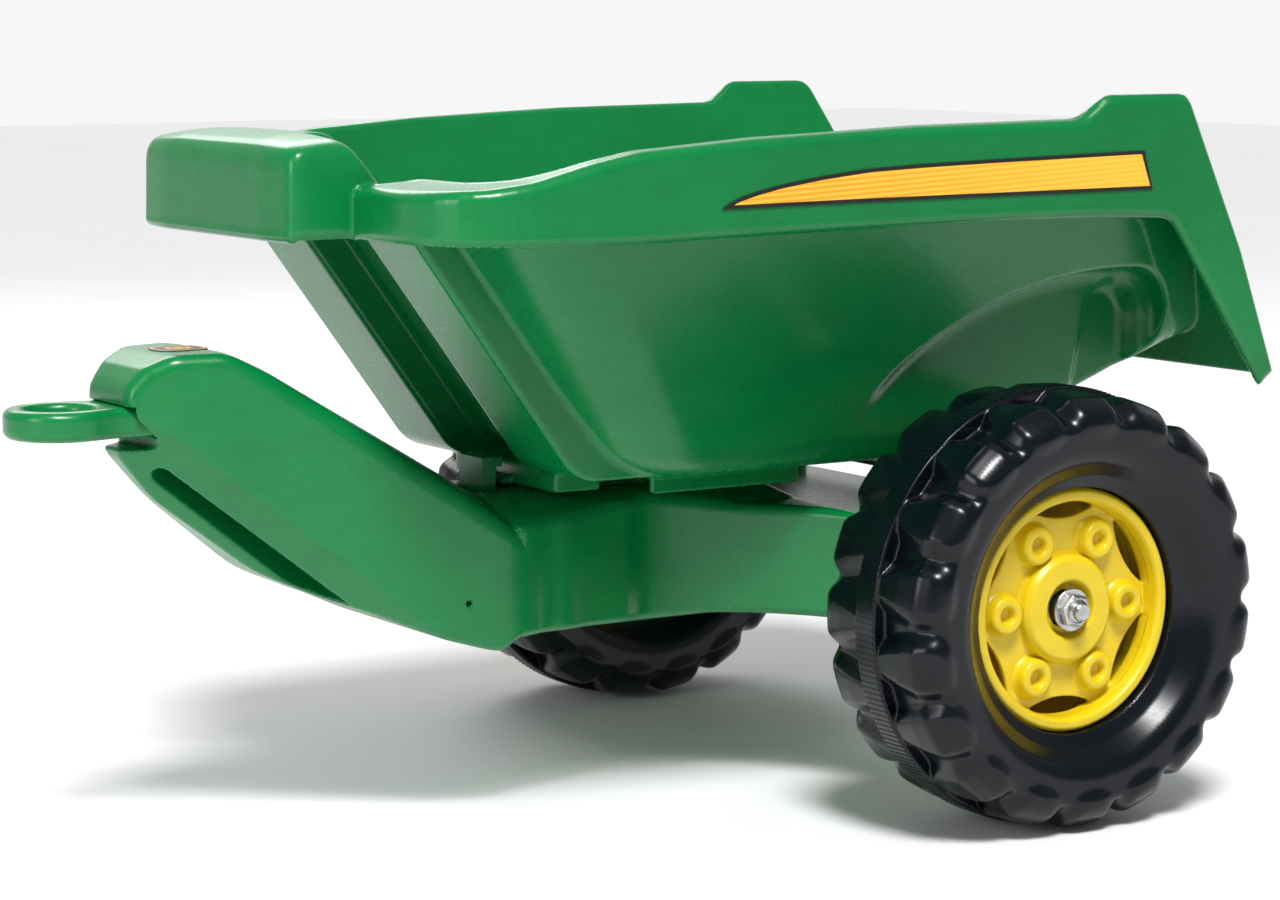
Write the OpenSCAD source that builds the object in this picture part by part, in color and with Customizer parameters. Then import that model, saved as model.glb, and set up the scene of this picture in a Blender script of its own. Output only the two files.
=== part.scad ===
// Tipping trailer for a child's pedal tractor.
// +X runs forward to the tow eye, +Y to the left wheel, +Z up. Millimetres.

/* [Wheels] */
// Tyre diameter over the centre rib
tyre_d = 225; // [215:1:235]
// Tyre width
tyre_w = 90; // [84:1:94]
// Distance between the two wheel centres
track = 405.4; // [400:0.2:430]
// Outer diameter of the yellow hub ring
hub_d = 125.4; // [120:0.2:128]
// Lugs on each side of a tyre
lugs = 18; // [14:1:20]
// Bosses on each hub
hub_bosses = 6; // [5:1:6]

/* [Axle] */
// Axle rod diameter
axle_d = 12; // [10:0.5:13]
// Running gap around the axle and the pivot rod, per side
run_gap = 0.06; // [0.04:0.01:0.09]

/* [Tub] */
// Width over the rim skirts
tub_w = 358; // [340:1:366]
// Front face of the rim, measured forward of the axle
tub_front = 333; // [323:1:343]
// Wall thickness of the mouldings
wall = 4; // [3:0.25:4.5]
// Half width of the raised hood in the front rim
hood_half = 88; // [80:1:92]
// Greatest tipping angle
tip_angle = 45; // [30:1:50]

/* [Drawbar] */
// Tow eye outer radius
eye_r = 27.5; // [25:0.5:29]
// Tow eye hole radius
eye_hole_r = 17.5; // [14:0.5:19]
// Tow eye thickness
eye_t = 15; // [13:0.5:16]
// Half width of the drawbar head
head_half = 33; // [31:0.5:35]

/* [Pivot and latch] */
// Pivot rod diameter
rod_d = 8; // [6:0.5:9]
// Latch pin diameter
pin_d = 5; // [4:0.25:6]

/* [Hidden] */
$fn = 72;
gap = 0.3;
green = [0.05, 0.45, 0.22];
yellow = [0.88, 0.72, 0.16];
black = [0.05, 0.06, 0.09];
steel = [0.72, 0.73, 0.75];

az = tyre_d / 2;
wheel_y = track / 2;
beam_y = wheel_y - tyre_w / 2 - 9.7;
eye_x = 451;
eye_z = az + 102;
tail_x = -181;
mid_x = (eye_x + eye_r + tail_x) / 2;
skirt_y = tub_w / 2;
df = tub_front - 333;

floor_z = az + 63.5;
rim_low = az + 191.5;
deck_z = az + 37.5;
crown_z = az + 53.5;
keel_z = az - 24.5;

pivot = [-40, az + 49.5];
ear_r = rod_d / 2 + 5;
ear_y = 96;
lug_y = 80;
latch = [216, az + 46];

hub_r = hub_d / 2;
hub_w = 26.6;
bush_r = axle_d / 2 + 3;
core_r = bush_r + 5;
spacer_out = wheel_y - tyre_w / 2 + 0.3;
bush_in = spacer_out + gap;
bush_out = wheel_y + 23.3;
washer_t = 1.5;
nut_t = 5;
axle_half = bush_out + gap + washer_t + nut_t + 4;

// Inward mitred offset of a counter-clockwise outline.
function unit(v) = v / norm(v);
function left(v) = [-v[1], v[0]];
function corner_in(a, b, c, d) =
  let (n = left(unit(b - a)), m = left(unit(c - b))) b + d * (n + m) / (1 + n * m);
function inset(p, d) = let (n = len(p))
  [for (i = [0:n - 1]) corner_in(p[(i + n - 1) % n], p[i], p[(i + 1) % n], d)];
function moved(p, v) = [for (q = p) q + v];

// Convex counter-clockwise outline with its own radius at each corner.
module rounded(p, r) {
  n = len(p);
  a = [for (i = [0:n - 1]) left(unit(p[i] - p[(i + n - 1) % n]))];
  b = [for (i = [0:n - 1]) left(unit(p[(i + 1) % n] - p[i]))];
  c = [for (i = [0:n - 1]) p[i] + r[i] * (a[i] + b[i]) / (1 + a[i] * b[i])];
  polygon([for (i = [0:n - 1]) each [c[i] - r[i] * a[i], c[i] - r[i] * b[i]]]);
  for (i = [0:n - 1]) if (r[i] > 0) translate(c[i]) circle(r = r[i]);
}

// Outlines drawn in (x, z) are pushed out along Y; those in (y, z) along X.
module along_y(w) {
  rotate([90, 0, 0]) linear_extrude(height = w, center = true) children();
}
module along_x(x0, x1) {
  translate([x0, 0, 0]) rotate([90, 0, 90]) linear_extrude(height = x1 - x0) children();
}
module both_sides() {
  children();
  mirror([0, 1, 0]) children();
}
module rod_y(r, y0, y1) {
  translate([0, y0, 0]) rotate([-90, 0, 0]) cylinder(r = r, h = y1 - y0);
}
module place() {
  translate([-mid_x, 0, 0]) children();
}

// ---- Tub ----
front_k = 0.74;
side_k = 0.35;
wall_x = 276 + df;
wall_y = skirt_y - 27;
ref_z = az + 187.5;
bottom_x = wall_x - front_k * (ref_z - floor_z);
bottom_y = wall_y - side_k * (ref_z - floor_z);
body_side = [[-260, floor_z + 98.4], [-20, floor_z], [bottom_x, floor_z],
  [bottom_x + front_k * 220, floor_z + 220], [-260, floor_z + 220]];
body_end = [[-bottom_y, floor_z], [bottom_y, floor_z],
  [bottom_y + side_k * 220, floor_z + 220], [-bottom_y - side_k * 220, floor_z + 220]];
column_dx = 20;
column_y = [31, 87];
arch_c = [-100, az - 52.5];
arch_r = 216;
arch_y = wall_y - 34;
tail_line = [[-181, az + 106.5], [-156, az + 173.5], [-121, az + 252]];
skirt_side = [[340 + df, rim_low], [340 + df, az + 217], [312 + df, az + 219],
  [281, az + 223], [251, az + 230], [195, az + 237.5], [118, az + 241.5], [12, az + 245],
  [-46, az + 245.5], [-58, az + 257.5], [-115, az + 257.5], [-121, az + 252],
  [-156, az + 173.5], [-181, az + 106.5], [-170, az + 98.5], [-102, rim_low + 1],
  [-89, rim_low + 3], [11, rim_low + 3], [136, rim_low + 1]];
skirt_plan = [[-200, -skirt_y], [tub_front, -skirt_y], [tub_front, skirt_y], [-200, skirt_y]];
hood_side = [[270 + df, az + 189.5], [369 + df, az + 189.5], [366 + df, az + 243],
  [270 + df, az + 242]];
hood_plan = [[200, -hood_half], [371 + df, -hood_half], [371 + df, hood_half], [200, hood_half]];
hood_end = [[-hood_half - 1, az + 180], [hood_half + 1, az + 180], [hood_half - 4, az + 243],
  [-hood_half + 4, az + 243]];

// Wedge behind the sloping front and inside the sloping left wall, with the
// rounded edge between them following the line where the two walls meet.
module corner_wedge(t) {
  nf = unit([1, 0, -front_k]);
  ns = unit([0, 1, -side_k]);
  e3 = unit([front_k, side_k, 1]);
  e2 = cross(e3, nf);
  a = ns * nf;
  b = ns * e2;
  big = 900;
  o = [-t, (a * t - t) / b];
  multmatrix([[nf[0], e2[0], e3[0], wall_x], [nf[1], e2[1], e3[1], wall_y],
    [nf[2], e2[2], e3[2], ref_z], [0, 0, 0, 1]])
    linear_extrude(height = 1400, center = true)
      translate(o) rounded([[0, 0], [-b * big, a * big], [-big, -big], [0, -big]],
        [46 - t, 0, 0, 0]);
}

module body(t) {
  difference() {
    intersection() {
      corner_wedge(t + 0.1);
      mirror([0, 1, 0]) corner_wedge(t + 0.1);
      along_y(500) rounded(inset(body_side, t), [0, 0, 26 - t, 0, 0]);
      along_x(-300, 500) rounded(inset(body_end, t), [40 - t, 40 - t, 0, 0]);
    }
    both_sides() translate([arch_c[0], arch_y - t, arch_c[1]])
      rotate([-90, 0, 0]) cylinder(r = arch_r + t, h = 200);
  }
  both_sides() intersection() {
    along_y(500) rounded(inset(moved(body_side, [column_dx, 0]), t), [0, 0, 26 - t, 0, 0]);
    translate([100, column_y[0] + t, floor_z + t])
      cube([400, column_y[1] - column_y[0] - 2 * t, 220]);
  }
}

// Everything under the rim line and in front of the slanted tail.
module rim_clip() {
  along_y(500) polygon(concat([for (i = [1:13]) skirt_side[i]],
    [[-202, az + 50], [400, az + 50], [400, az + 217]]));
}

module skirt(t) {
  intersection() {
    along_y(500) polygon(moved(skirt_side, [1.25 * t, -t]));
    translate([0, 0, az]) linear_extrude(height = 300)
      rounded(inset(skirt_plan, t), [0, 42 - t, 42 - t, 0]);
  }
}

module hood(t) {
  intersection() {
    along_y(500) rounded(inset(moved(hood_side, [0, -1.5 * t]), t), [0, 0, 22 - t, 0]);
    translate([0, 0, az]) linear_extrude(height = 300)
      rounded(inset(hood_plan, t), [0, 14 - t, 14 - t, 0]);
    along_x(200, 500) rounded(inset(moved(hood_end, [0, -t]), t), [0, 0, 26 - t, 26 - t]);
  }
}

module ear() {
  difference() {
    translate([pivot[0], 0, pivot[1]]) along_y(10) {
      circle(r = ear_r);
      translate([-ear_r, 0]) square([2 * ear_r, floor_z - pivot[1] + 6]);
    }
    translate([pivot[0], 0, pivot[1]]) rod_y(rod_d / 2 + run_gap, -20, 20);
  }
}

// Foot that lands on the crown of the chassis and carries the latch ledge.
module foot() {
  difference() {
    translate([172, -52, crown_z + gap]) cube([28, 104, floor_z - crown_z + 2]);
    translate([160, -30, crown_z - 5]) cube([30, 60, 12]);
  }
  translate([199, -10, crown_z + gap]) cube([8, 20, 4.5]);
}

module tub() {
  color(green) difference() {
    union() {
      difference() {
        union() {
          skirt(0);
          hood(0);
          intersection() {
            body(0);
            rim_clip();
          }
        }
        difference() {
          union() {
            skirt(wall);
            hood(wall);
          }
          body(0);
        }
      }
      both_sides() translate([0, ear_y, 0]) ear();
      both_sides() translate([70, 82, floor_z - 9]) cube([92, 4, 14]);
      foot();
    }
    body(wall);
  }
}

decal = [[-90, az + 208], [181, az + 206.5], [160, az + 215], [124, az + 219.5],
  [93.5, az + 223.5], [12, az + 226.5], [-84, az + 228]];
module decal_plate() {
  color(yellow) translate([0, skirt_y + 0.2, 0]) along_y(0.4) polygon(decal);
}
module decal_left() {
  decal_plate();
}
module decal_right() {
  mirror([0, 1, 0]) decal_plate();
}

// ---- Chassis ----
slot_x = 372;
bolt_x = 387;
tongue_low = eye_z - eye_t / 2 - 6;
tongue_high = eye_z + eye_t / 2 + 8;
arm_k = 0.669;
arm_top_k = 76.5 / 127;
ridge_k = 1.04;
ridge_s = 1.18;
head_top = az + 134.5;
chassis_side = [[-50, keel_z + 2], [40, keel_z], [238, keel_z], [268, keel_z + 9],
  [300, keel_z + 23], [321, keel_z + 31], [353, keel_z + 45], [404, keel_z + 85],
  [424, az + 84], [427, az + 93],
  [427, az + 118], [416, az + 130], [404, head_top], [370, head_top], [358, az + 130],
  [231, crown_z], [66, crown_z], [44, deck_z], [-50, deck_z]];
waist_r = 116;
arm_plan = [[190, -52], [228, -68], [404, -head_half], [427, -24], [427, 24],
  [404, head_half], [228, 68], [190, 52]];
deck_end = [[-18, keel_z], [18, keel_z], [52, keel_z + 7], [200, keel_z + 3], [200, deck_z - 1],
  [60, deck_z + 4], [30, crown_z], [-30, crown_z], [-60, deck_z + 4], [-200, deck_z - 1],
  [-200, keel_z + 3], [-52, keel_z + 7]];

// Slab on the outer side of a plane through p that climbs forward by k and
// changes height by s for each millimetre outward; up is 1 or -1.
module flank(p, k, s, up, t) {
  n = unit([-k, -s, 1] * up);
  e1 = unit([1, 0, k]);
  e2 = cross(n, e1);
  o = p - t * n;
  multmatrix([[e1[0], e2[0], n[0], o[0]], [e1[1], e2[1], n[1], o[1]],
    [e1[2], e2[2], n[2], o[2]], [0, 0, 0, 1]])
    translate([0, -150, 0]) cube([300, 300, 60]);
}

module chassis_form(t) {
  difference() {
    intersection() {
      along_y(500) polygon(inset(chassis_side, t));
      linear_extrude(height = 500) {
        difference() {
          translate([-50 + t, -beam_y + t]) square([278 - 2 * t, 2 * (beam_y - t)]);
          for (s = [-1, 1]) translate([156, s * (45 + waist_r)]) circle(r = waist_r + t);
        }
        polygon(inset(arm_plan, t));
      }
      union() {
        along_x(-60, 240) polygon(inset(deck_end, t));
        translate([230, -100, 0]) cube([300, 200, 500]);
      }
    }
    both_sides() flank([255, 12, keel_z - 61], ridge_k, ridge_s, -1, t);
    both_sides() flank([231, 30, crown_z], arm_top_k, -0.4, 1, t);
  }
}

module keel_pocket(t, depth) {
  translate([298, 0, keel_z + 25]) rotate([0, -atan(arm_k), 0]) translate([0, 0, -20])
    linear_extrude(height = 20 + depth) {
      translate([24, 0]) circle(r = 9 + t);
      translate([118, 0]) circle(r = 9 + t);
      translate([24, -9 - t]) square([94, 18 + 2 * t]);
    }
}

module chassis() {
  color(green) difference() {
    union() {
      difference() {
        chassis_form(0);
        difference() {
          chassis_form(wall);
          // Solid head, pocket walls and cross tubes left standing in the hollow.
          translate([slot_x - 10, -100, 0]) cube([200, 200, 500]);
          keel_pocket(3, 15);
          translate([0, 0, az]) rod_y(axle_d / 2 + 5, -200, 200);
          translate([latch[0] - 12, -18, latch[1] - 12]) cube([26, 36, 60]);
        }
      }
      both_sides() translate([pivot[0], lug_y, pivot[1]]) along_y(12) {
        circle(r = ear_r);
        translate([-ear_r, deck_z - pivot[1] - 2]) square([2 * ear_r, pivot[1] - deck_z + 2]);
      }
    }
    translate([0, 0, az]) rod_y(axle_d / 2 + run_gap, -300, 300);
    translate([pivot[0], 0, pivot[1]]) rod_y(rod_d / 2 + run_gap, -300, 300);
    keel_pocket(0, 11);
    // Slot and cross hole for the tow tongue.
    translate([slot_x, -25, eye_z - eye_t / 2 - 0.1]) cube([80, 50, eye_t + 0.2]);
    translate([bolt_x, 0, az + 40]) cylinder(r = 4 + run_gap, h = 120);
    translate([bolt_x, 0, az + 40]) cylinder(r = 8, h = tongue_low - az - 40);
    translate([bolt_x, 0, tongue_high]) cylinder(r = 8, h = 50);
    // Vent hole left by the moulding, and the latch pocket with its pin hole.
    translate([257, 0, az + 3]) rotate([-90, 0, 0]) cylinder(r = 1.5, h = 100);
    translate([latch[0] - 9, -14, latch[1] - 9]) cube([20, 28, 60]);
    translate([latch[0], 0, latch[1]]) rod_y(pin_d / 2 + run_gap, -22, 22);
  }
}

module tow_tongue() {
  color(green) translate([0, 0, eye_z - eye_t / 2]) difference() {
    linear_extrude(height = eye_t) {
      translate([eye_x, 0]) circle(r = eye_r);
      translate([slot_x + gap, -24.7]) square([eye_x - 10 - slot_x, 49.4]);
    }
    translate([eye_x, 0, -1]) cylinder(r = eye_hole_r, h = eye_t + 2);
    translate([bolt_x, 0, -1]) cylinder(r = 4 + run_gap, h = eye_t + 2);
  }
}
module tongue_bolt() {
  color(steel) {
    translate([bolt_x, 0, tongue_low - 5]) cylinder(r = 7, h = 5, $fn = 6);
    translate([bolt_x, 0, tongue_low]) cylinder(r = 4, h = tongue_high - tongue_low + 7);
  }
}
module tongue_nut() {
  color(steel) translate([bolt_x, 0, tongue_high]) difference() {
    cylinder(r = 7, h = 6, $fn = 6);
    translate([0, 0, -1]) cylinder(r = 4, h = 8);
  }
}
module badge() {
  color(black) translate([387, 0, head_top]) linear_extrude(height = 0.6) rounded(
    [[-14, -14], [14, -11], [14, 11], [-14, 14]], [7, 7, 7, 7]);
}

// ---- Axle and wheels ----
module axle() {
  color(steel) translate([0, 0, az]) {
    rod_y(axle_d / 2, -axle_half + 4, axle_half - 4);
    both_sides() rod_y(axle_d / 2 - 1.5, axle_half - 5, axle_half);
  }
}
module ring_y(r_out, r_in, y0, y1) {
  difference() {
    rod_y(r_out, y0, y1);
    rod_y(r_in, y0 - 1, y1 + 1);
  }
}
module spacers() {
  color(black) both_sides() translate([0, 0, az])
    ring_y(core_r - 1, axle_d / 2 + run_gap, beam_y, spacer_out);
}
module washers() {
  color(steel) both_sides() translate([0, 0, az])
    ring_y(axle_d / 2 + 5, axle_d / 2 + run_gap, bush_out + gap, bush_out + gap + washer_t);
}
module axle_nuts() {
  color(steel) both_sides() translate([0, 0, az]) difference() {
    y0 = bush_out + gap + washer_t;
    rod_y(axle_d / 2 + 3.5, y0, y0 + nut_t);
    rod_y(axle_d / 2, y0 - 1, y0 + nut_t + 1);
  }
}

// Tyre: hollow carcass with a centre rib and staggered rounded lugs.
// Outlines are (radius, width from the wheel centre).
sh = tyre_w / 2;
tyre_r = tyre_d / 2;
carcass = [[hub_r, -hub_w + 2], [hub_r + 6, -hub_w - 3], [hub_r + 20, -sh], [hub_r + 36, -sh + 1],
  [tyre_r - 7, -sh + 14], [tyre_r - 7, sh - 14], [hub_r + 36, sh - 1], [hub_r + 20, sh],
  [hub_r + 6, hub_w + 3], [hub_r, hub_w - 2]];
lug_band = [[tyre_r - 14, 6], [tyre_r - 1.5, 6], [tyre_r - 1.5, sh - 20], [tyre_r - 4, sh - 9],
  [tyre_r - 11, sh - 1], [tyre_r - 20, sh - 1]];
module carcass_form(t) {
  rotate_extrude($fn = 144) rounded(inset(carcass, t),
    [0, 0, 14 - t, 14 - t, 12 - t, 12 - t, 14 - t, 14 - t, 0, 0]);
}
module lug_ring() {
  difference() {
    rotate_extrude($fn = 144) rounded(lug_band, [0, 0, 6, 6, 5, 0]);
    for (i = [0:lugs - 1]) rotate([0, 0, (i + 0.3) * 360 / lugs]) translate([tyre_r - 24, 0, 0])
      rotate([90, 0, 90]) linear_extrude(height = 34)
        polygon([[-12, 5], [12, 5], [6, sh + 3], [-6, sh + 3]]);
  }
}
module tyre() {
  color(black) difference() {
    union() {
      carcass_form(0);
      rotate_extrude($fn = 144) translate([tyre_r - 12, -8]) square([12, 16]);
      lug_ring();
      rotate([0, 0, 180 / lugs]) mirror([0, 0, 1]) lug_ring();
    }
    carcass_form(wall);
    cylinder(r = hub_r, h = 200, center = true);
    translate([0, 0, -10]) cylinder(r = hub_r + 12, h = 20);
  }
}
module on_left() {
  translate([0, wheel_y, az]) rotate([-90, 0, 0]) children();
}
module tyre_left() {
  on_left() tyre();
}
module tyre_right() {
  mirror([0, 1, 0]) on_left() tyre();
}

// Hub halves: local +Z is the outer side of the wheel.
ring_in = hub_r - 7;
boss_pc = 0.625 * hub_r;
dish_z = 13;
module hub_front() {
  color(yellow) difference() {
    union() {
      difference() {
        cylinder(r = hub_r, h = hub_w);
        translate([0, 0, -1]) cylinder(r = hub_r - 3, h = hub_w + 2);
      }
      translate([0, 0, hub_w - 8]) difference() {
        cylinder(r = hub_r - 1, h = 8);
        translate([0, 0, -1]) cylinder(r = ring_in, h = 10);
      }
      translate([0, 0, dish_z]) cylinder(r = hub_r - 1, h = 3);
      translate([0, 0, dish_z + 1]) cylinder(r = 28, h = 10);
      translate([0, 0, -gap]) cylinder(r = core_r, h = dish_z + 2);
      translate([0, 0, bush_in - wheel_y]) cylinder(r = core_r, h = wheel_y - bush_in);
      for (i = [0:hub_bosses - 1]) rotate([0, 0, i * 360 / hub_bosses])
        translate([boss_pc, 0, dish_z + 1]) cylinder(r = 10.5, h = 9);
    }
    translate([0, 0, dish_z + 5]) cylinder(r = 16, h = 20);
    cylinder(r = bush_r, h = 200, center = true);
    for (i = [0:hub_bosses - 1]) rotate([0, 0, i * 360 / hub_bosses]) {
      translate([boss_pc, 0, dish_z - 1]) cylinder(r = 4, h = 20);
      rotate([0, 0, 180 / hub_bosses]) translate([0, 0, dish_z - 1]) linear_extrude(height = 5)
        intersection() {
          circle(r = ring_in);
          translate([ring_in + 40.7, 0]) circle(r = 48.7);
        }
    }
  }
}
module hub_back() {
  color(yellow) difference() {
    translate([0, 0, -hub_w]) cylinder(r = hub_r, h = hub_w - gap / 3);
    translate([0, 0, -hub_w + 8]) cylinder(r = hub_r - 3, h = hub_w);
    translate([0, 0, -hub_w - 1]) cylinder(r = hub_r - 7, h = 6);
    cylinder(r = core_r + 0.05, h = 200, center = true);
  }
}
module bush() {
  color(black) difference() {
    translate([0, 0, bush_in - wheel_y]) cylinder(r = bush_r, h = bush_out - bush_in);
    cylinder(r = axle_d / 2 + run_gap, h = 200, center = true);
  }
}
module hub_front_left() {
  on_left() hub_front();
}
module hub_front_right() {
  mirror([0, 1, 0]) on_left() hub_front();
}
module hub_back_left() {
  on_left() hub_back();
}
module hub_back_right() {
  mirror([0, 1, 0]) on_left() hub_back();
}
module bush_left() {
  on_left() bush();
}
module bush_right() {
  mirror([0, 1, 0]) on_left() bush();
}

// ---- Pivot and latch ----
rod_half = ear_y + 8;
module pivot_rod() {
  color(steel) translate([pivot[0], 0, pivot[1]]) rod_y(rod_d / 2, -rod_half, rod_half);
}
module pivot_caps() {
  color(black) both_sides() translate([pivot[0], 0, pivot[1]]) difference() {
    rod_y(rod_d / 2 + 3, ear_y + 5 + gap, rod_half + 2);
    rod_y(rod_d / 2, ear_y, rod_half);
  }
}
module latch_lever() {
  color(green) difference() {
    translate([latch[0], 0, latch[1]]) along_y(24) {
      circle(r = pin_d / 2 + 3);
      translate([-4, 0]) square([8, 23]);
      translate([-8, 18]) square([10, 5]);
    }
    translate([latch[0], 0, latch[1]]) rod_y(pin_d / 2 + run_gap, -30, 30);
  }
}
module latch_pin() {
  color(steel) translate([latch[0], 0, latch[1]]) rod_y(pin_d / 2, -18, 18);
}

place() chassis();
place() tow_tongue();
place() tongue_bolt();
place() tongue_nut();
place() badge();
place() axle();
place() spacers();
place() washers();
place() axle_nuts();
place() tyre_left();
place() tyre_right();
place() hub_front_left();
place() hub_front_right();
place() hub_back_left();
place() hub_back_right();
place() bush_left();
place() bush_right();
place() tub();
place() decal_left();
place() decal_right();
place() pivot_rod();
place() pivot_caps();
place() latch_lever();
place() latch_pin();
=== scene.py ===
"""Looks of a two-wheeled tipping trailer that is towed by a child's pedal tractor."""

import enum
import logging
import math
from dataclasses import dataclass, field
from typing import Any, Callable, Sequence, Union

import bmesh
import bpy
import numpy as np
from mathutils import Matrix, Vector


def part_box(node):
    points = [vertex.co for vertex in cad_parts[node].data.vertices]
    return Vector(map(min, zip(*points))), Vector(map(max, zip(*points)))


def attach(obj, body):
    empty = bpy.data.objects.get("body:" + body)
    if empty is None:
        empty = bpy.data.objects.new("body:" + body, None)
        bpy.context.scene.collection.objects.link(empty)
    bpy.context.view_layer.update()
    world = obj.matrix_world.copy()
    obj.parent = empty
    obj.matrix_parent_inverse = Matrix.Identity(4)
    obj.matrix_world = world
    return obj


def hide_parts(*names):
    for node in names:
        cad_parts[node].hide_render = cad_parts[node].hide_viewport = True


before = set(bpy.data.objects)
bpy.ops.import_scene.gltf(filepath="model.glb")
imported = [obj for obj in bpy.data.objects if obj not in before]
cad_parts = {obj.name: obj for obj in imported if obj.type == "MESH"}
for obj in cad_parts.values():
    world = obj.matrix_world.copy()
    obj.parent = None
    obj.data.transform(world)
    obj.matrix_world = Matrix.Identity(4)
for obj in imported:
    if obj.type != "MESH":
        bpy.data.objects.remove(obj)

LOG = logging.getLogger("trailer")
MM = 0.001
Array = np.ndarray
Distance = Callable[[Array, Array, Array], Array]
Point = tuple[float, float]
Triple = tuple[float, float, float]
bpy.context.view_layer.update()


# ---------------------------------------------------------------- solids by distance


def round_max(a: Array, b: Array, radius: float, lean: float = 0.0) -> Array:
    """Meets two distances with a rounded outer edge.

    Args:
        a: Distance to the first solid, negative inside.
        b: Distance to the second solid.
        radius: Radius of the edge; nought leaves it sharp.
        lean: Cosine of the angle between the two surfaces' outward directions.

    Returns:
        Distance to what the two solids share.
    """
    if radius <= 0:
        return np.maximum(a, b)
    if lean == 0:
        edge = np.sqrt(np.maximum(a + radius, 0) ** 2 + np.maximum(b + radius, 0) ** 2)
        return np.minimum(np.maximum(a, b), -radius) + edge
    u, v = a + radius, b + radius
    edge = np.sqrt(np.maximum(u * u + v * v - 2 * lean * u * v, 0) / (1 - lean * lean)) - radius
    return np.where((u > lean * v) & (v > lean * u) & (u + v > 0), edge, np.maximum(a, b))


class Solid:
    """A solid known by its distance, negative inside, in millimetres from the axle."""

    def __init__(self, distance: Distance) -> None:
        """Keeps the distance function."""
        self.distance = distance

    def __call__(self, x: Array, y: Array, z: Array) -> Array:
        """Gives the distance at points."""
        return self.distance(x, y, z)

    def within(self, other: "Solid", edge: float = 0.0, lean: float = 0.0) -> "Solid":
        """Keeps what both solids share, with a rounded edge."""
        return Solid(lambda x, y, z: round_max(self(x, y, z), other(x, y, z), edge, lean))

    def without(self, other: "Solid", edge: float = 0.0) -> "Solid":
        """Cuts the other solid away, with a rounded edge."""
        return Solid(lambda x, y, z: round_max(self(x, y, z), -other(x, y, z), edge))

    def joined(self, other: "Solid", fillet: float = 0.0) -> "Solid":
        """Adds the other solid, with a fillet in the corner."""
        return Solid(lambda x, y, z: -round_max(-self(x, y, z), -other(x, y, z), fillet))

    def grown(self, by: float) -> "Solid":
        """Moves the whole surface outwards."""
        return Solid(lambda x, y, z: self(x, y, z) - by)

    def both_sides(self) -> "Solid":
        """Mirrors the left half to the right."""
        return Solid(lambda x, y, z: self(x, np.abs(y), z))

    def moved(self, dx: float = 0.0, dy: float = 0.0, dz: float = 0.0) -> "Solid":
        """Moves the solid."""
        return Solid(lambda x, y, z: self(x - dx, y - dy, z - dz))


def plane(point: Triple, normal: Triple) -> Solid:
    """Everything behind a plane.

    Args:
        point: A point of the plane.
        normal: The way out of the solid.

    Returns:
        The half space.
    """
    way = np.array(normal, float) / np.linalg.norm(normal)
    off = float(way @ np.array(point, float))
    return Solid(lambda x, y, z: way[0] * x + way[1] * y + way[2] * z - off)


def slab_y(low: float, high: float) -> Solid:
    """Everything between two upright planes across Y."""
    return Solid(lambda x, y, z: np.abs(y - (low + high) / 2) - (high - low) / 2)


def rod_y(centre: Point, radius: float, half: float = 1000.0) -> Solid:
    """A rod along Y about a centre in (x, z)."""
    return Solid(
        lambda x, y, z: np.maximum(
            np.hypot(x - centre[0], z - centre[1]) - radius, np.abs(y) - half
        )
    )


def box(low: Triple, high: Triple, edge: float = 0.0) -> Solid:
    """A box between two corners.

    Args:
        low: Lowest corner.
        high: Highest corner.
        edge: Radius of all its edges.

    Returns:
        The box.
    """
    mid = [(a + b) / 2 for a, b in zip(low, high)]
    half = [(b - a) / 2 - edge for a, b in zip(low, high)]

    def distance(x: Array, y: Array, z: Array) -> Array:
        """Distance to the box."""
        q = [np.abs(v - m) - h for v, m, h in zip((x, y, z), mid, half)]
        out = np.sqrt(sum(np.maximum(v, 0) ** 2 for v in q))
        return out + np.minimum(np.maximum(np.maximum(q[0], q[1]), q[2]), 0) - edge

    return Solid(distance)


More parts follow.
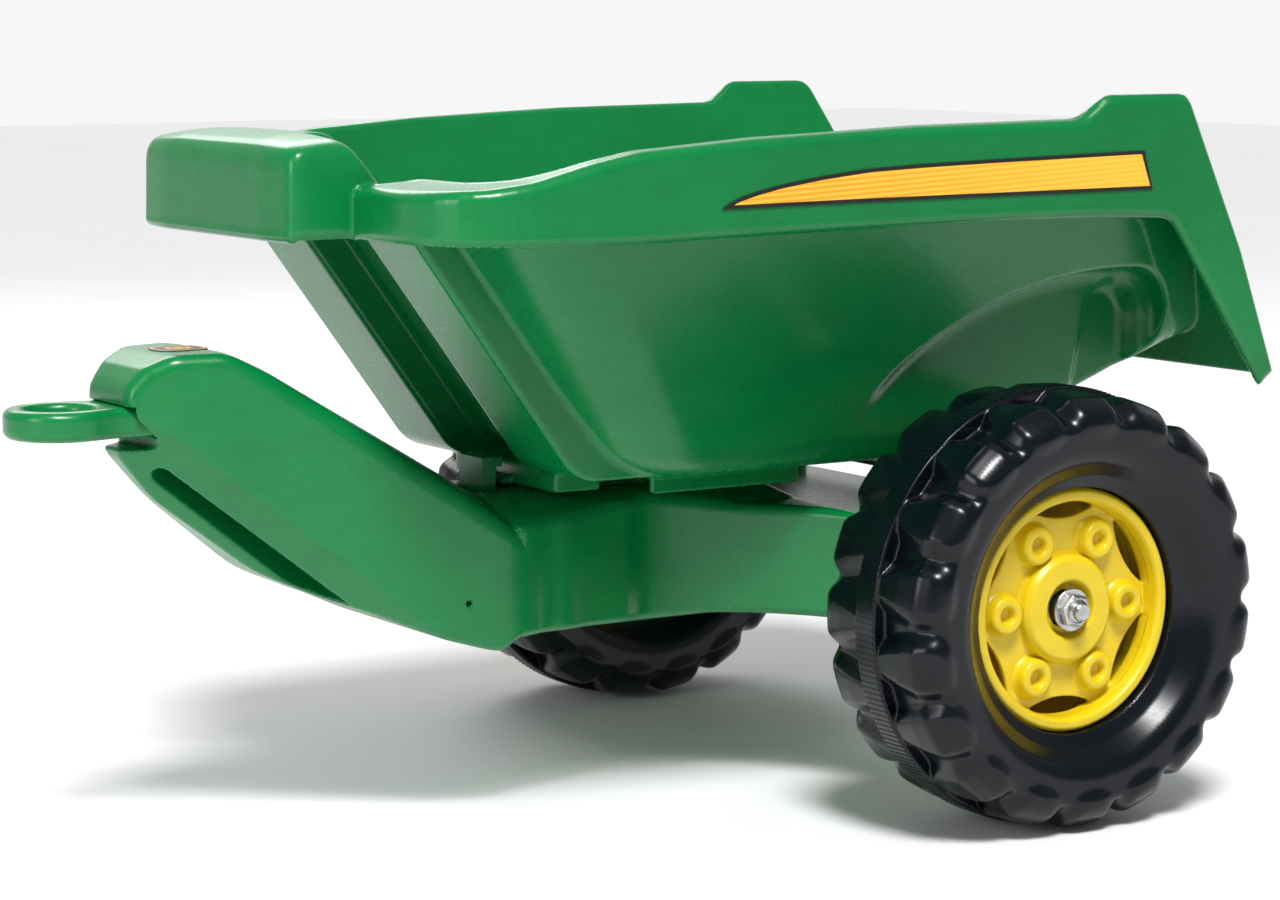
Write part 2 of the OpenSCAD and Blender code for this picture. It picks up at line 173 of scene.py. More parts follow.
class Outline:
    """A closed outline with its own radius at each corner."""

    def __init__(self, corners: Sequence[Sequence[float]], steps: int = 7) -> None:
        """Rounds the corners.

        Args:
            corners: (u, v) or (u, v, radius) of each corner, in order.
            steps: Points along each rounded corner.
        """
        self.points = self._rounded([tuple(c) + (0.0,) * (3 - len(c)) for c in corners], steps)

    @staticmethod
    def _rounded(corners: list[tuple[float, ...]], steps: int) -> list[Point]:
        """Replaces each corner with its arc.

        Args:
            corners: (u, v, radius) of each corner.
            steps: Points along each arc.

        Returns:
            The outline's points.
        """
        points: list[Point] = []
        count = len(corners)
        for i, (u, v, radius) in enumerate(corners):
            here = np.array([u, v])
            before = np.array(corners[i - 1][:2]) - here
            after = np.array(corners[(i + 1) % count][:2]) - here
            room = 0.49 * min(np.linalg.norm(before), np.linalg.norm(after))
            before = before / np.linalg.norm(before)
            after = after / np.linalg.norm(after)
            half = math.acos(float(np.clip(before @ after, -1, 1))) / 2
            if radius <= 0 or half > math.pi / 2 - 0.01:
                points.append((u, v))
                continue
            reach = min(radius / math.tan(half), room)
            start, end = here + before * reach, here + after * reach
            for k in range(steps + 1):
                t = k / steps
                spot = (1 - t) ** 2 * start + 2 * t * (1 - t) * here + t * t * end
                points.append((float(spot[0]), float(spot[1])))
        return points

    def distance(self, u: Array, v: Array) -> Array:
        """Distance to the outline, negative inside."""
        near: Union[Array, float] = np.inf
        sign: Union[Array, float] = 1.0
        for (au, av), (bu, bv) in zip(self.points, self.points[1:] + self.points[:1]):
            eu, ev = bu - au, bv - av
            long = eu * eu + ev * ev
            if long < 1e-9:
                continue
            wu, wv = u - au, v - av
            t = np.clip((wu * eu + wv * ev) / long, 0, 1)
            near = np.minimum(near, (wu - eu * t) ** 2 + (wv - ev * t) ** 2)
            up = (av <= v) & (bv > v) & (eu * wv > ev * wu)
            down = (av > v) & (bv <= v) & (eu * wv < ev * wu)
            sign = np.where(up | down, -sign, sign)
        return sign * np.sqrt(near)

    def along_y(self) -> Solid:
        """The outline in (x, z) pushed right along Y."""
        return Solid(lambda x, y, z: self.distance(x, z))

    def along_x(self) -> Solid:
        """The outline in (y, z) pushed right along X."""
        return Solid(lambda x, y, z: self.distance(y, z))

    def along_z(self) -> Solid:
        """The outline in (x, y) pushed right along Z."""
        return Solid(lambda x, y, z: self.distance(x, y))

    def around_y(self, centre: Point) -> Solid:
        """The outline in (radius, y) turned about an axle through (x, z)."""
        return Solid(lambda x, y, z: self.distance(np.hypot(x - centre[0], z - centre[1]), y))


@dataclass(frozen=True)
class Datum:
    """Where the sizes in millimetres stand in the frame."""

    axle_x: float
    axle_z: float

    @classmethod
    def from_frame(cls) -> "Datum":
        """Reads the axle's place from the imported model."""
        low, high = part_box("axle")
        return cls((low[0] + high[0]) / 2, (low[2] + high[2]) / 2)

    def metres(self, spots: Array) -> Array:
        """Turns millimetres from the axle into metres in the frame."""
        return spots * MM + np.array([self.axle_x, 0.0, 0.0])


@dataclass(frozen=True)
class Mould:
    """Casts a solid into a mesh on a regular grid.

    Attributes:
        low: Lowest corner of the grid, in millimetres.
        high: Highest corner of the grid.
        pitch: Grid spacing.
        faces: Most triangles that are kept.
    """

    low: Triple
    high: Triple
    pitch: float
    faces: int = 180_000
    coarse: bool = True

    def _lattice(self) -> list[Array]:
        """Grid positions along each axis, ready to broadcast."""
        step = self.pitch * (1.4 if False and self.coarse else 1.0)
        axes = [np.arange(a, b + step, step, dtype=np.float32) for a, b in zip(self.low, self.high)]
        return [axes[0][:, None, None], axes[1][None, :, None], axes[2][None, None, :]]

    def _net(self, solid: Solid) -> tuple[Array, Array]:
        """Finds the surface net.

        Args:
            solid: What to cast.

        Returns:
            Vertices in millimetres and quads of vertex numbers.
        """
        x, y, z = self._lattice()
        shape = (x.size, y.size, z.size)
        values = np.broadcast_to(solid(x, y, z), shape).astype(np.float32)
        values[np.abs(values) < 1e-5] = 1e-5
        inside = values < 0
        corner = [(i, j, k) for i in (0, 1) for j in (0, 1) for k in (0, 1)]
        span = [slice(0, n - 1) for n in shape]
        shift = [slice(1, n) for n in shape]
        total = np.zeros([n - 1 for n in shape], np.int8)
        for bits in corner:
            total += inside[tuple(shift[a] if bits[a] else span[a] for a in range(3))]
        cells = np.argwhere((total > 0) & (total < 8))
        number = np.full([n - 1 for n in shape], -1, np.int32)
        number[tuple(cells.T)] = np.arange(len(cells))
        at = {b: values[cells[:, 0] + b[0], cells[:, 1] + b[1], cells[:, 2] + b[2]] for b in corner}
        spot = np.zeros((len(cells), 3))
        hits = np.zeros(len(cells))
        for a in corner:
            for axis in range(3):
                if a[axis]:
                    continue
                b = tuple(1 if n == axis else a[n] for n in range(3))
                va, vb = at[a], at[b]
                cross = (va < 0) != (vb < 0)
                t = np.where(cross, va / np.where(cross, va - vb, 1), 0)
                for n in range(3):
                    spot[:, n] += np.where(cross, a[n] + (t if n == axis else 0), 0)
                hits += cross
        step = float(x[1, 0, 0] - x[0, 0, 0])
        vertices = np.array(self.low) + (cells + spot / hits[:, None]) * step
        quads = []
        for axis in range(3):
            u, v = (axis + 1) % 3, (axis + 2) % 3
            lower = [slice(1, n - 1) for n in shape]
            lower[axis] = slice(0, shape[axis] - 1)
            upper = list(lower)
            upper[axis] = slice(1, shape[axis])
            first, second = inside[tuple(lower)], inside[tuple(upper)]
            spots = np.argwhere(first != second)
            out = first[tuple(spots.T)]
            spots[:, u] += 1
            spots[:, v] += 1
            ring = []
            for du, dv in ((-1, -1), (0, -1), (0, 0), (-1, 0)):
                cell = spots.copy()
                cell[:, u] += du
                cell[:, v] += dv
                ring.append(number[tuple(cell.T)])
            quad = np.stack(ring, 1)
            quads.append(np.where(out[:, None], quad, quad[:, ::-1]))
        return vertices, np.concatenate(quads)

    def cast(self, name: str, solid: Solid, datum: Datum) -> bpy.types.Object:
        """Makes the piece.

        Args:
            name: Name of the object.
            solid: What to cast.
            datum: Where the millimetres stand.

        Returns:
            The new object, smooth, with normals from the solid itself.
        """
        vertices, quads = self._net(solid)
        mesh = bpy.data.meshes.new(name)
        mesh.vertices.add(len(vertices))
        mesh.vertices.foreach_set("co", vertices.astype(np.float32).ravel())
        mesh.loops.add(quads.size)
        mesh.loops.foreach_set("vertex_index", quads.astype(np.int32).ravel())
        mesh.polygons.add(len(quads))
        mesh.polygons.foreach_set("loop_start", np.arange(0, quads.size, 4, dtype=np.int32))
        mesh.update(calc_edges=True)
        piece = bpy.data.objects.new(name, mesh)
        bpy.context.scene.collection.objects.link(piece)
        if len(quads) * 2 > self.faces:
            thin = piece.modifiers.new("thin", "DECIMATE")
            thin.ratio = self.faces / (len(quads) * 2)
            piece.data = evaluated_mesh(piece)
            piece.modifiers.clear()
        self._settle(piece, solid, datum)
        return piece

    def _settle(self, piece: bpy.types.Object, solid: Solid, datum: Datum) -> None:
        """Draws the vertices onto the surface and takes normals from it.

        Args:
            piece: The cast piece, still in millimetres.
            solid: The solid it came from.
            datum: Where the millimetres stand.
        """
        mesh = piece.data
        flat = np.empty(len(mesh.vertices) * 3, np.float32)
        mesh.vertices.foreach_get("co", flat)
        spots = flat.reshape(-1, 3).astype(float)

        def sample(offset: Array) -> Array:
            """Distance at the vertices moved by an offset."""
            moved = spots + offset
            return solid(moved[:, 0], moved[:, 1], moved[:, 2])

        def slope(reach: float) -> Array:
            """Direction of the surface at the vertices."""
            axes = np.eye(3) * reach
            way = np.stack([sample(a) - sample(-a) for a in axes], 1)
            return way / np.maximum(np.linalg.norm(way, axis=1), 1e-9)[:, None]

        way = slope(0.15)
        step = np.clip(sample(np.zeros(3)), -0.4 * self.pitch, 0.4 * self.pitch)
        spots = spots - way * step[:, None]
        way = slope(0.35)
        reach = 1.6
        bend = sum(sample(a) + sample(-a) for a in np.eye(3) * reach) - 6 * sample(np.zeros(3))
        metres = datum.metres(spots)
        mesh.vertices.foreach_set("co", metres.astype(np.float32).ravel())
        edge = mesh.attributes.new("edge", "FLOAT", "POINT")
        edge.data.foreach_set("value", np.clip(bend / (reach * 2.4), -1, 1).astype(np.float32))
        mesh.polygons.foreach_set("use_smooth", np.ones(len(mesh.polygons), bool))
        mesh.update()
        mesh.normals_split_custom_set_from_vertices(way.tolist())


def evaluated_mesh(piece: bpy.types.Object) -> bpy.types.Mesh:
    """A plain mesh of the piece with its modifiers applied."""
    bpy.context.view_layer.update()
    graph = bpy.context.evaluated_depsgraph_get()
    return bpy.data.meshes.new_from_object(piece.evaluated_get(graph))


def lathe(
    name: str, outline: Sequence[Point], place: Triple, steps: int = 64, way: int = 1
) -> bpy.types.Object:
    """Turns a profile about an axis along Y.

    Args:
        name: Name of the object.
        outline: (radius, y) of the profile in millimetres, closed onto the axis or itself.
        place: Centre of the turning, in metres.
        steps: Facets round the axis.
        way: 1 for the left side, -1 for the right.

    Returns:
        The new object.
    """
    mesh = bmesh.new()
    rings = []
    for k in range(steps):
        a = 2 * math.pi * k / steps
        rings.append([mesh.verts.new((place[0] + r * MM * math.cos(a), place[1] + way * y * MM,
                                      place[2] + r * MM * math.sin(a))) for r, y in outline])
    count = len(outline)
    for k in range(steps):
        here, there = rings[k], rings[(k + 1) % steps]
        for i in range(count):
            j = (i + 1) % count
            mesh.faces.new((here[i], here[j], there[j], there[i]))
    return finish_mesh(name, mesh)


def finish_mesh(name: str, mesh: bmesh.types.BMesh, smooth: bool = True) -> bpy.types.Object:
    """Closes a hand-built mesh and links it as an object.

    Args:
        name: Name of the object.
        mesh: The mesh, freed here.
        smooth: Whether its faces shade smoothly.

    Returns:
        The new object.
    """
    bmesh.ops.remove_doubles(mesh, verts=mesh.verts, dist=1e-7)
    bmesh.ops.dissolve_degenerate(mesh, edges=mesh.edges, dist=1e-7)
    bmesh.ops.recalc_face_normals(mesh, faces=mesh.faces)
    data = bpy.data.meshes.new(name)
    mesh.to_mesh(data)
    mesh.free()
    data.polygons.foreach_set("use_smooth", [smooth] * len(data.polygons))
    if smooth:
        data.set_sharp_from_angle(angle=math.radians(38))
    piece = bpy.data.objects.new(name, data)
    bpy.context.scene.collection.objects.link(piece)
    return piece


def bevelled(piece: bpy.types.Object, width: float, angle: float = 30.0) -> bpy.types.Object:
    """Rounds a piece's edges by a bevel.

    Args:
        piece: The piece.
        width: Width of the bevel in millimetres.
        angle: Least angle of the edges that are rounded, in degrees.

    Returns:
        The same piece.
    """
    soften = piece.modifiers.new("soften", "BEVEL")
    soften.width = width * MM
    soften.segments = 3
    soften.limit_method = "ANGLE"
    soften.angle_limit = math.radians(angle)
    soften.harden_normals = True
    return piece


# ---------------------------------------------------------------- finishes


@dataclass
class Signal:
    """A number that varies over a surface, held as a shader socket."""

    shop: "Shop"
    socket: bpy.types.NodeSocket

    def _math(self, kind: str, first: Any, second: Any) -> "Signal":
        """Adds one Math node."""
        return self.shop.number("ShaderNodeMath", {"operation": kind}, [first, second])

    def __add__(self, other: Any) -> "Signal":
        """Sum."""
        return self._math("ADD", self, other)

    __radd__ = __add__

    def __sub__(self, other: Any) -> "Signal":
        """Difference."""
        return self._math("SUBTRACT", self, other)

    def __rsub__(self, other: Any) -> "Signal":
        """Reflected difference."""
        return self._math("SUBTRACT", other, self)

    def __mul__(self, other: Any) -> "Signal":
        """Product."""
        return self._math("MULTIPLY", self, other)

    __rmul__ = __mul__

    def eased(self, low: float, high: float) -> "Signal":
        """0 at low, 1 at high, smooth between them."""
        settings = {"interpolation_type": "SMOOTHSTEP"}
        values = {"Value": self, "From Min": low, "From Max": high}
        return self.shop.number("ShaderNodeMapRange", settings, values)

    def wave(self, pitch: float) -> "Signal":
        """0 to 1 and back once in each pitch."""
        return self._math("PINGPONG", self * (2 / pitch), 1.0)


class Shop:
    """Builds one material."""

    def __init__(self, name: str) -> None:
        """Starts an empty material with one surface shader."""
        self.material = bpy.data.materials.new(name)
        self.material.use_nodes = True
        self.tree = self.material.node_tree
        self.tree.nodes.clear()
        self.surface = self.tree.nodes.new("ShaderNodeBsdfPrincipled")
        output = self.tree.nodes.new("ShaderNodeOutputMaterial")
        self.tree.links.new(self.surface.outputs[0], output.inputs[0])

    def node(self, kind: str, settings: dict[str, Any], values: Union[dict, list]) -> bpy.types.Node:
        """Adds one node.

        Args:
            kind: Type of the node.
            settings: Its own settings, set before its sockets.
            values: Values or links of its sockets, by name or in order.

        Returns:
            The node.
        """
        node = self.tree.nodes.new(kind)
        for key, value in settings.items():
            if key == "stops":
                self.stops(node.color_ramp, value)
            else:
                setattr(node, key, value)
        pairs = values.items() if isinstance(values, dict) else enumerate(values)
        for key, value in pairs:
            if value is None:
                continue
            self.feed(node.inputs[key], value)
        return node

    def feed(self, socket: bpy.types.NodeSocket, value: Any) -> None:
        """Links or sets one socket."""
        if isinstance(value, Signal):
            self.tree.links.new(value.socket, socket)
        elif isinstance(value, bpy.types.NodeSocket):
            self.tree.links.new(value, socket)
        else:
            socket.default_value = value

    @staticmethod
    def stops(ramp: bpy.types.ColorRamp, stops: Sequence[tuple[float, Sequence[float]]]) -> None:
        """Sets a ramp's stops."""
        while len(ramp.elements) < len(stops):
            ramp.elements.new(0.5)
        for element, (place, colour) in zip(ramp.elements, stops):
            element.position = place
            element.color = colour

    def number(self, kind: str, settings: dict[str, Any], values: Union[dict, list]) -> Signal:
        """Adds one node and wraps its first output."""
        return Signal(self, self.node(kind, settings, values).outputs[0])

    def place(self) -> bpy.types.NodeSocket:
        """Object coordinates."""
        return self.node("ShaderNodeTexCoord", {}, {}).outputs["Object"]

    def axes(self) -> tuple[Signal, Signal, Signal]:
        """Object coordinates as three numbers, in metres."""
        parts = self.node("ShaderNodeSeparateXYZ", {}, [self.place()])
        return tuple(Signal(self, s) for s in parts.outputs)

    def noise(
        self, size: float, detail: float = 2.0, rough: float = 0.5, stretch: Triple = (1, 1, 1)
    ) -> Signal:
        """Cloudy noise.

        Args:
            size: Size of its blotches in millimetres.
            detail: Finer layers.
            rough: Strength of the finer layers.
            stretch: How much denser it is along each axis.

        Returns:
            The noise, about 0 to 1.
        """
        spot = self.node("ShaderNodeMapping", {}, {"Vector": self.place(), "Scale": stretch}).outputs[0]
        values = {"Vector": spot, "Scale": 1 / (size * MM), "Detail": detail, "Roughness": rough}
        return self.number("ShaderNodeTexNoise", {"noise_dimensions": "3D"}, values)

    def attribute(self, name: str) -> Signal:
        """A number stored on the mesh."""
        node = self.node("ShaderNodeAttribute", {"attribute_name": name}, {})
        return Signal(self, node.outputs["Fac"])

    def mixed(self, part: Any, first: Any, second: Any) -> bpy.types.NodeSocket:
        """Mixes two colours."""
        node = self.node("ShaderNodeMix", {"data_type": "RGBA"}, {"Factor": part})
        self.feed(node.inputs[6], self._colour(first))
        self.feed(node.inputs[7], self._colour(second))
        return node.outputs[2]

    @staticmethod
    def _colour(value: Any) -> Any:
        """Adds an opaque alpha to a plain colour."""
        return (*value, 1.0) if isinstance(value, tuple) and len(value) == 3 else value

    def bump(self, *layers: tuple[Signal, float]) -> bpy.types.NodeSocket:
        """Stacks bumps.

        Args:
            layers: Each bump's height signal and its depth in millimetres.

        Returns:
            The normal.
        """
        normal = None
        for height, depth in layers:
            values = {"Height": height, "Distance": depth * MM, "Strength": 1.0, "Normal": normal}
            normal = self.node("ShaderNodeBump", {}, values).outputs[0]
        return normal

    def done(self, **sockets: Any) -> bpy.types.Material:
        """Feeds the surface shader.

        Args:
            sockets: Values or links by the socket's name, with _ for a space.

        Returns:
            The material.
        """
        for name, value in sockets.items():
            self.feed(self.surface.inputs[name.replace("_", " ")], self._colour(value))
        return self.material


def linear(red: int, green: int, blue: int) -> Triple:
    """A colour given as screen values, made linear."""
    parts = [c / 255 for c in (red, green, blue)]
    return tuple(c / 12.92 if c <= 0.04045 else ((c + 0.055) / 1.055) ** 2.4 for c in parts)


@dataclass(frozen=True)
class MouldedPlastic:
    """Glossy coloured plastic from a mould.

    Attributes:
        name: Name of the material.
        colour: Main colour.
        shade: Colour of the denser patches.
        scuffed: Colour of worn edges.
        roughness: Gloss of the clean surface.
        peel: Depth of the orange-peel texture in millimetres.
        wear: Strength of the scuffing on edges.
        coat: Strength of the clear gloss on top.
        ior: Refractive index, which sets how strongly it mirrors.
    """

    name: str
    colour: Triple
    shade: Triple
    scuffed: Triple
    roughness: float = 0.24
    peel: float = 0.012
    wear: float = 0.35
    coat: float = 0.1
    ior: float = 1.5

    def material(self) -> bpy.types.Material:
        """Builds the material."""
        shop = Shop(self.name)
        clouds = shop.noise(120, 3, 0.55)
        flow = shop.noise(26, 4, 0.6, (1, 1, 3))
        grain = shop.noise(1.6, 2, 0.5)
        peel = shop.noise(5.5, 1, 0.5)
        dust = shop.noise(9, 5, 0.65).eased(0.56, 0.74)
        edge = shop.attribute("edge").eased(0.12, 0.7)
        nicks = shop.noise(3.2, 4, 0.7).eased(0.47, 0.66)
        worn = edge * nicks * self.wear
        scratch = shop.noise(2.4, 3, 0.6, (0.05, 1, 1)).eased(0.62, 0.72)
        mix = clouds.eased(0.3, 0.75) * 0.7 + flow.eased(0.35, 0.7) * 0.3
        body = shop.mixed(mix, self.colour, self.shade)
        colour = shop.mixed(worn, body, self.scuffed)
        haze = clouds * 0.05 + dust * 0.05 + scratch * 0.05
        rough = self.roughness + haze + worn * 0.35 + (grain - 0.5) * 0.03
        normal = shop.bump((peel, self.peel), (grain, self.peel * 0.3), (scratch, -0.004))
        return shop.done(
            Base_Color=colour, Roughness=rough, Normal=normal,
            IOR=self.ior, Coat_Weight=self.coat, Coat_Roughness=0.12,
        )


@dataclass(frozen=True)
class TurnedSteel:
    """Bright zinc-plated steel with turning marks."""

    name: str = "bright steel"
    colour: Triple = (0.62, 0.62, 0.63)

    def material(self) -> bpy.types.Material:
        """Builds the material."""
        shop = Shop(self.name)
        rings = shop.noise(0.35, 2, 0.6, (0.02, 1, 0.02))
        haze = shop.noise(6, 3, 0.6)
        spots = shop.noise(1.1, 3, 0.7).eased(0.6, 0.75)
        tone = shop.mixed(haze.eased(0.3, 0.7), self.colour, tuple(c * 0.72 for c in self.colour))
        colour = shop.mixed(spots * 0.4, tone, (0.34, 0.32, 0.29))
        rough = 0.2 + haze * 0.16 + spots * 0.2
        return shop.done(Base_Color=colour, Roughness=rough, Metallic=1.0, Normal=shop.bump((rings, 0.006)))


@dataclass(frozen=True)
class PrintedFilm:
    """A printed film: fine level lines on a warm ground, deeper towards the front."""

    name: str
    front_x: float
    rear_x: float
    line: float = 2.6
    pale: Triple = linear(244, 196, 62)
    deep: Triple = linear(226, 152, 36)

    def material(self) -> bpy.types.Material:
        """Builds the material."""
        shop = Shop(self.name)
        x, _, z = shop.axes()
        lines = (z * 1000 + x * 52.0).wave(self.line).eased(0.3, 0.8)
        along = x.eased(self.rear_x, self.front_x)
        haze = shop.noise(14, 3, 0.6)
        ground = shop.mixed(along * 0.5 + haze * 0.2, self.pale, linear(238, 178, 50))
        colour = shop.mixed(lines * (0.35 + along * 0.65), ground, self.deep)
        rough = 0.3 + haze * 0.1
        return shop.done(Base_Color=colour, Roughness=rough, Normal=shop.bump((haze, 0.01)), IOR=1.48)


class Finish(enum.Enum):
    """The finishes of the trailer."""

    GREEN = "green_shell"
    TYRE = "tyre_black"
    YELLOW = "hub_yellow"
    STEEL = "steel"
    DARK = "dark_plastic"
    FILM = "decal_film"
    INK = "badge_film"


class Paintbox:
    """Makes each finish once and dresses pieces in it."""

    def __init__(self, datum: Datum) -> None:
        """Builds all the finishes.

        Args:
            datum: Where the axle stands.
        """
        self.made = {
            Finish.GREEN: MouldedPlastic(
                "green moulding", linear(0, 122, 60), linear(0, 108, 51), linear(18, 138, 76),
                roughness=0.25, wear=0.14, ior=1.45,
            ).material(),
            Finish.TYRE: MouldedPlastic(
                "tyre plastic", linear(3, 9, 17), linear(2, 6, 12), linear(26, 32, 42),
                roughness=0.22, peel=0.016, wear=0.2, coat=0.0, ior=1.4,
            ).material(),
            Finish.YELLOW: MouldedPlastic(
                "hub plastic", linear(226, 198, 22), linear(212, 182, 14), linear(238, 216, 90),
                roughness=0.33, peel=0.012, wear=0.25, coat=0.05,
            ).material(),
            Finish.STEEL: TurnedSteel().material(),
            Finish.DARK: MouldedPlastic(
                "dark plastic", linear(30, 31, 33), linear(22, 23, 25), linear(80, 80, 82),
                roughness=0.5, peel=0.03, wear=0.3, coat=0.0,
            ).material(),
            Finish.FILM: PrintedFilm("stripe film", datum.axle_x + 0.18, datum.axle_x - 0.09).material(),
            Finish.INK: MouldedPlastic(
                "black ink", linear(24, 22, 18), linear(18, 17, 14), linear(60, 56, 50),
                roughness=0.3, peel=0.008, wear=0.2, coat=0.1,
            ).material(),
        }

    def dress(self, piece: bpy.types.Object, *finishes: Finish) -> None:
        """Gives a piece its finishes, in slot order, and keeps each face's slot."""
        data = piece.data
        kept = np.zeros(len(data.polygons), np.int32)
        data.polygons.foreach_get("material_index", kept)
        data.materials.clear()
        for finish in finishes:
            data.materials.append(self.made[finish])
        data.polygons.foreach_set("material_index", np.minimum(kept, len(finishes) - 1))

    def dress_node(self, name: str, finish: Finish) -> None:
        """Gives a CAD node its finish in every material slot."""
        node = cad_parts[name]
        for slot in node.material_slots:
            slot.link = "OBJECT"
            slot.material = self.made[finish]


def register(piece: bpy.types.Object, body: str, slot: Finish, *nodes: str) -> None:
    """Hooks a piece onto the frame and reports it.

    Args:
        piece: The finished piece.
        body: The body it rides on.
        slot: Not used.
        nodes: The CAD nodes it stands for.
    """
    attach(piece, body)
    if nodes:
        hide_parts(*nodes)
    LOG.info("%s: %d faces on %s", piece.name, len(piece.data.polygons), body)


# ---------------------------------------------------------------- rings of copies


@dataclass(frozen=True)
class CopyRing:
    """Copies one item round an axle by Geometry Nodes.

    Attributes:
        count: Number of copies.
        start: Angle of the first copy, in degrees.
    """

    count: int
    start: float = 0.0

    def _tree(self) -> bpy.types.NodeTree:
        """Builds the node tree with its inputs."""
        tree = bpy.data.node_groups.new("copies round an axle", "GeometryNodeTree")
        face = tree.interface
        face.new_socket("Geometry", in_out="INPUT", socket_type="NodeSocketGeometry")
        face.new_socket("Item", in_out="INPUT", socket_type="NodeSocketObject")
        face.new_socket("Count", in_out="INPUT", socket_type="NodeSocketInt")
        face.new_socket("Start", in_out="INPUT", socket_type="NodeSocketFloat")
        face.new_socket("Centre", in_out="INPUT", socket_type="NodeSocketVector")
        face.new_socket("Finish", in_out="INPUT", socket_type="NodeSocketMaterial")
        face.new_socket("Geometry", in_out="OUTPUT", socket_type="NodeSocketGeometry")
        add, link = tree.nodes.new, tree.links.new
        given, result = add("NodeGroupInput"), add("NodeGroupOutput")
        points, index = add("GeometryNodePoints"), add("GeometryNodeInputIndex")
        item, put = add("GeometryNodeObjectInfo"), add("GeometryNodeInstanceOnPoints")
        step, angle, turn = (add("ShaderNodeMath") for _ in range(3))
        spin = add("ShaderNodeCombineXYZ")
        shift = add("GeometryNodeTransform")
        real, dress = add("GeometryNodeRealizeInstances"), add("GeometryNodeSetMaterial")
        step.operation, angle.operation, turn.operation = "DIVIDE", "MULTIPLY", "ADD"
        step.inputs[0].default_value = 2 * math.pi
        link(given.outputs["Count"], step.inputs[1])
        link(index.outputs[0], angle.inputs[0])
        link(step.outputs[0], angle.inputs[1])
        link(angle.outputs[0], turn.inputs[0])
        link(given.outputs["Start"], turn.inputs[1])
        link(turn.outputs[0], spin.inputs["Y"])
        link(given.outputs["Count"], points.inputs["Count"])
        link(given.outputs["Item"], item.inputs["Object"])
        link(points.outputs[0], put.inputs["Points"])
        link(item.outputs["Geometry"], put.inputs["Instance"])
        link(spin.outputs[0], put.inputs["Rotation"])
        link(put.outputs[0], shift.inputs["Geometry"])
        link(given.outputs["Centre"], shift.inputs["Translation"])
        link(shift.outputs[0], real.inputs[0])
        link(real.outputs[0], dress.inputs["Geometry"])
        link(given.outputs["Finish"], dress.inputs["Material"])
        link(dress.outputs[0], result.inputs[0])
        return tree

    def make(
        self, name: str, item: bpy.types.Object, centre: Triple, finish: bpy.types.Material
    ) -> bpy.types.Object:
        """Makes the ring as one plain mesh.

        Args:
            name: Name of the new object.
            item: What is copied, built about the origin; it is removed.
            centre: Centre of the ring in metres.
            finish: Material of the copies.

        Returns:
            The new object.
        """
        tree = self._tree()
        holder = bpy.data.objects.new(name, bpy.data.meshes.new(name))
        bpy.context.scene.collection.objects.link(holder)
        ring = holder.modifiers.new("ring", "NODES")
        ring.node_group = tree
        values = {"Item": item, "Count": self.count, "Start": math.radians(self.start),
                  "Centre": centre, "Finish": finish}
        for socket in tree.interface.items_tree:
            if socket.in_out == "INPUT" and socket.name in values:
                ring[socket.identifier] = values[socket.name]
        holder.data = evaluated_mesh(holder)
        holder.modifiers.clear()
        bpy.data.objects.remove(item)
        return holder


def merged(name: str, pieces: Sequence[bpy.types.Object]) -> bpy.types.Object:
    """Joins pieces into the first one.

    Args:
        name: Name of the result.
        pieces: The pieces, whose modifiers are already applied.

    Returns:
        The joined piece.
    """
    bpy.ops.object.select_all(action="DESELECT")
    for piece in pieces:
        piece.select_set(True)
    bpy.context.view_layer.objects.active = pieces[0]
    bpy.ops.object.join()
    pieces[0].name = name
    pieces[0].data.name = name
    return pieces[0]


# ---------------------------------------------------------------- the trailer


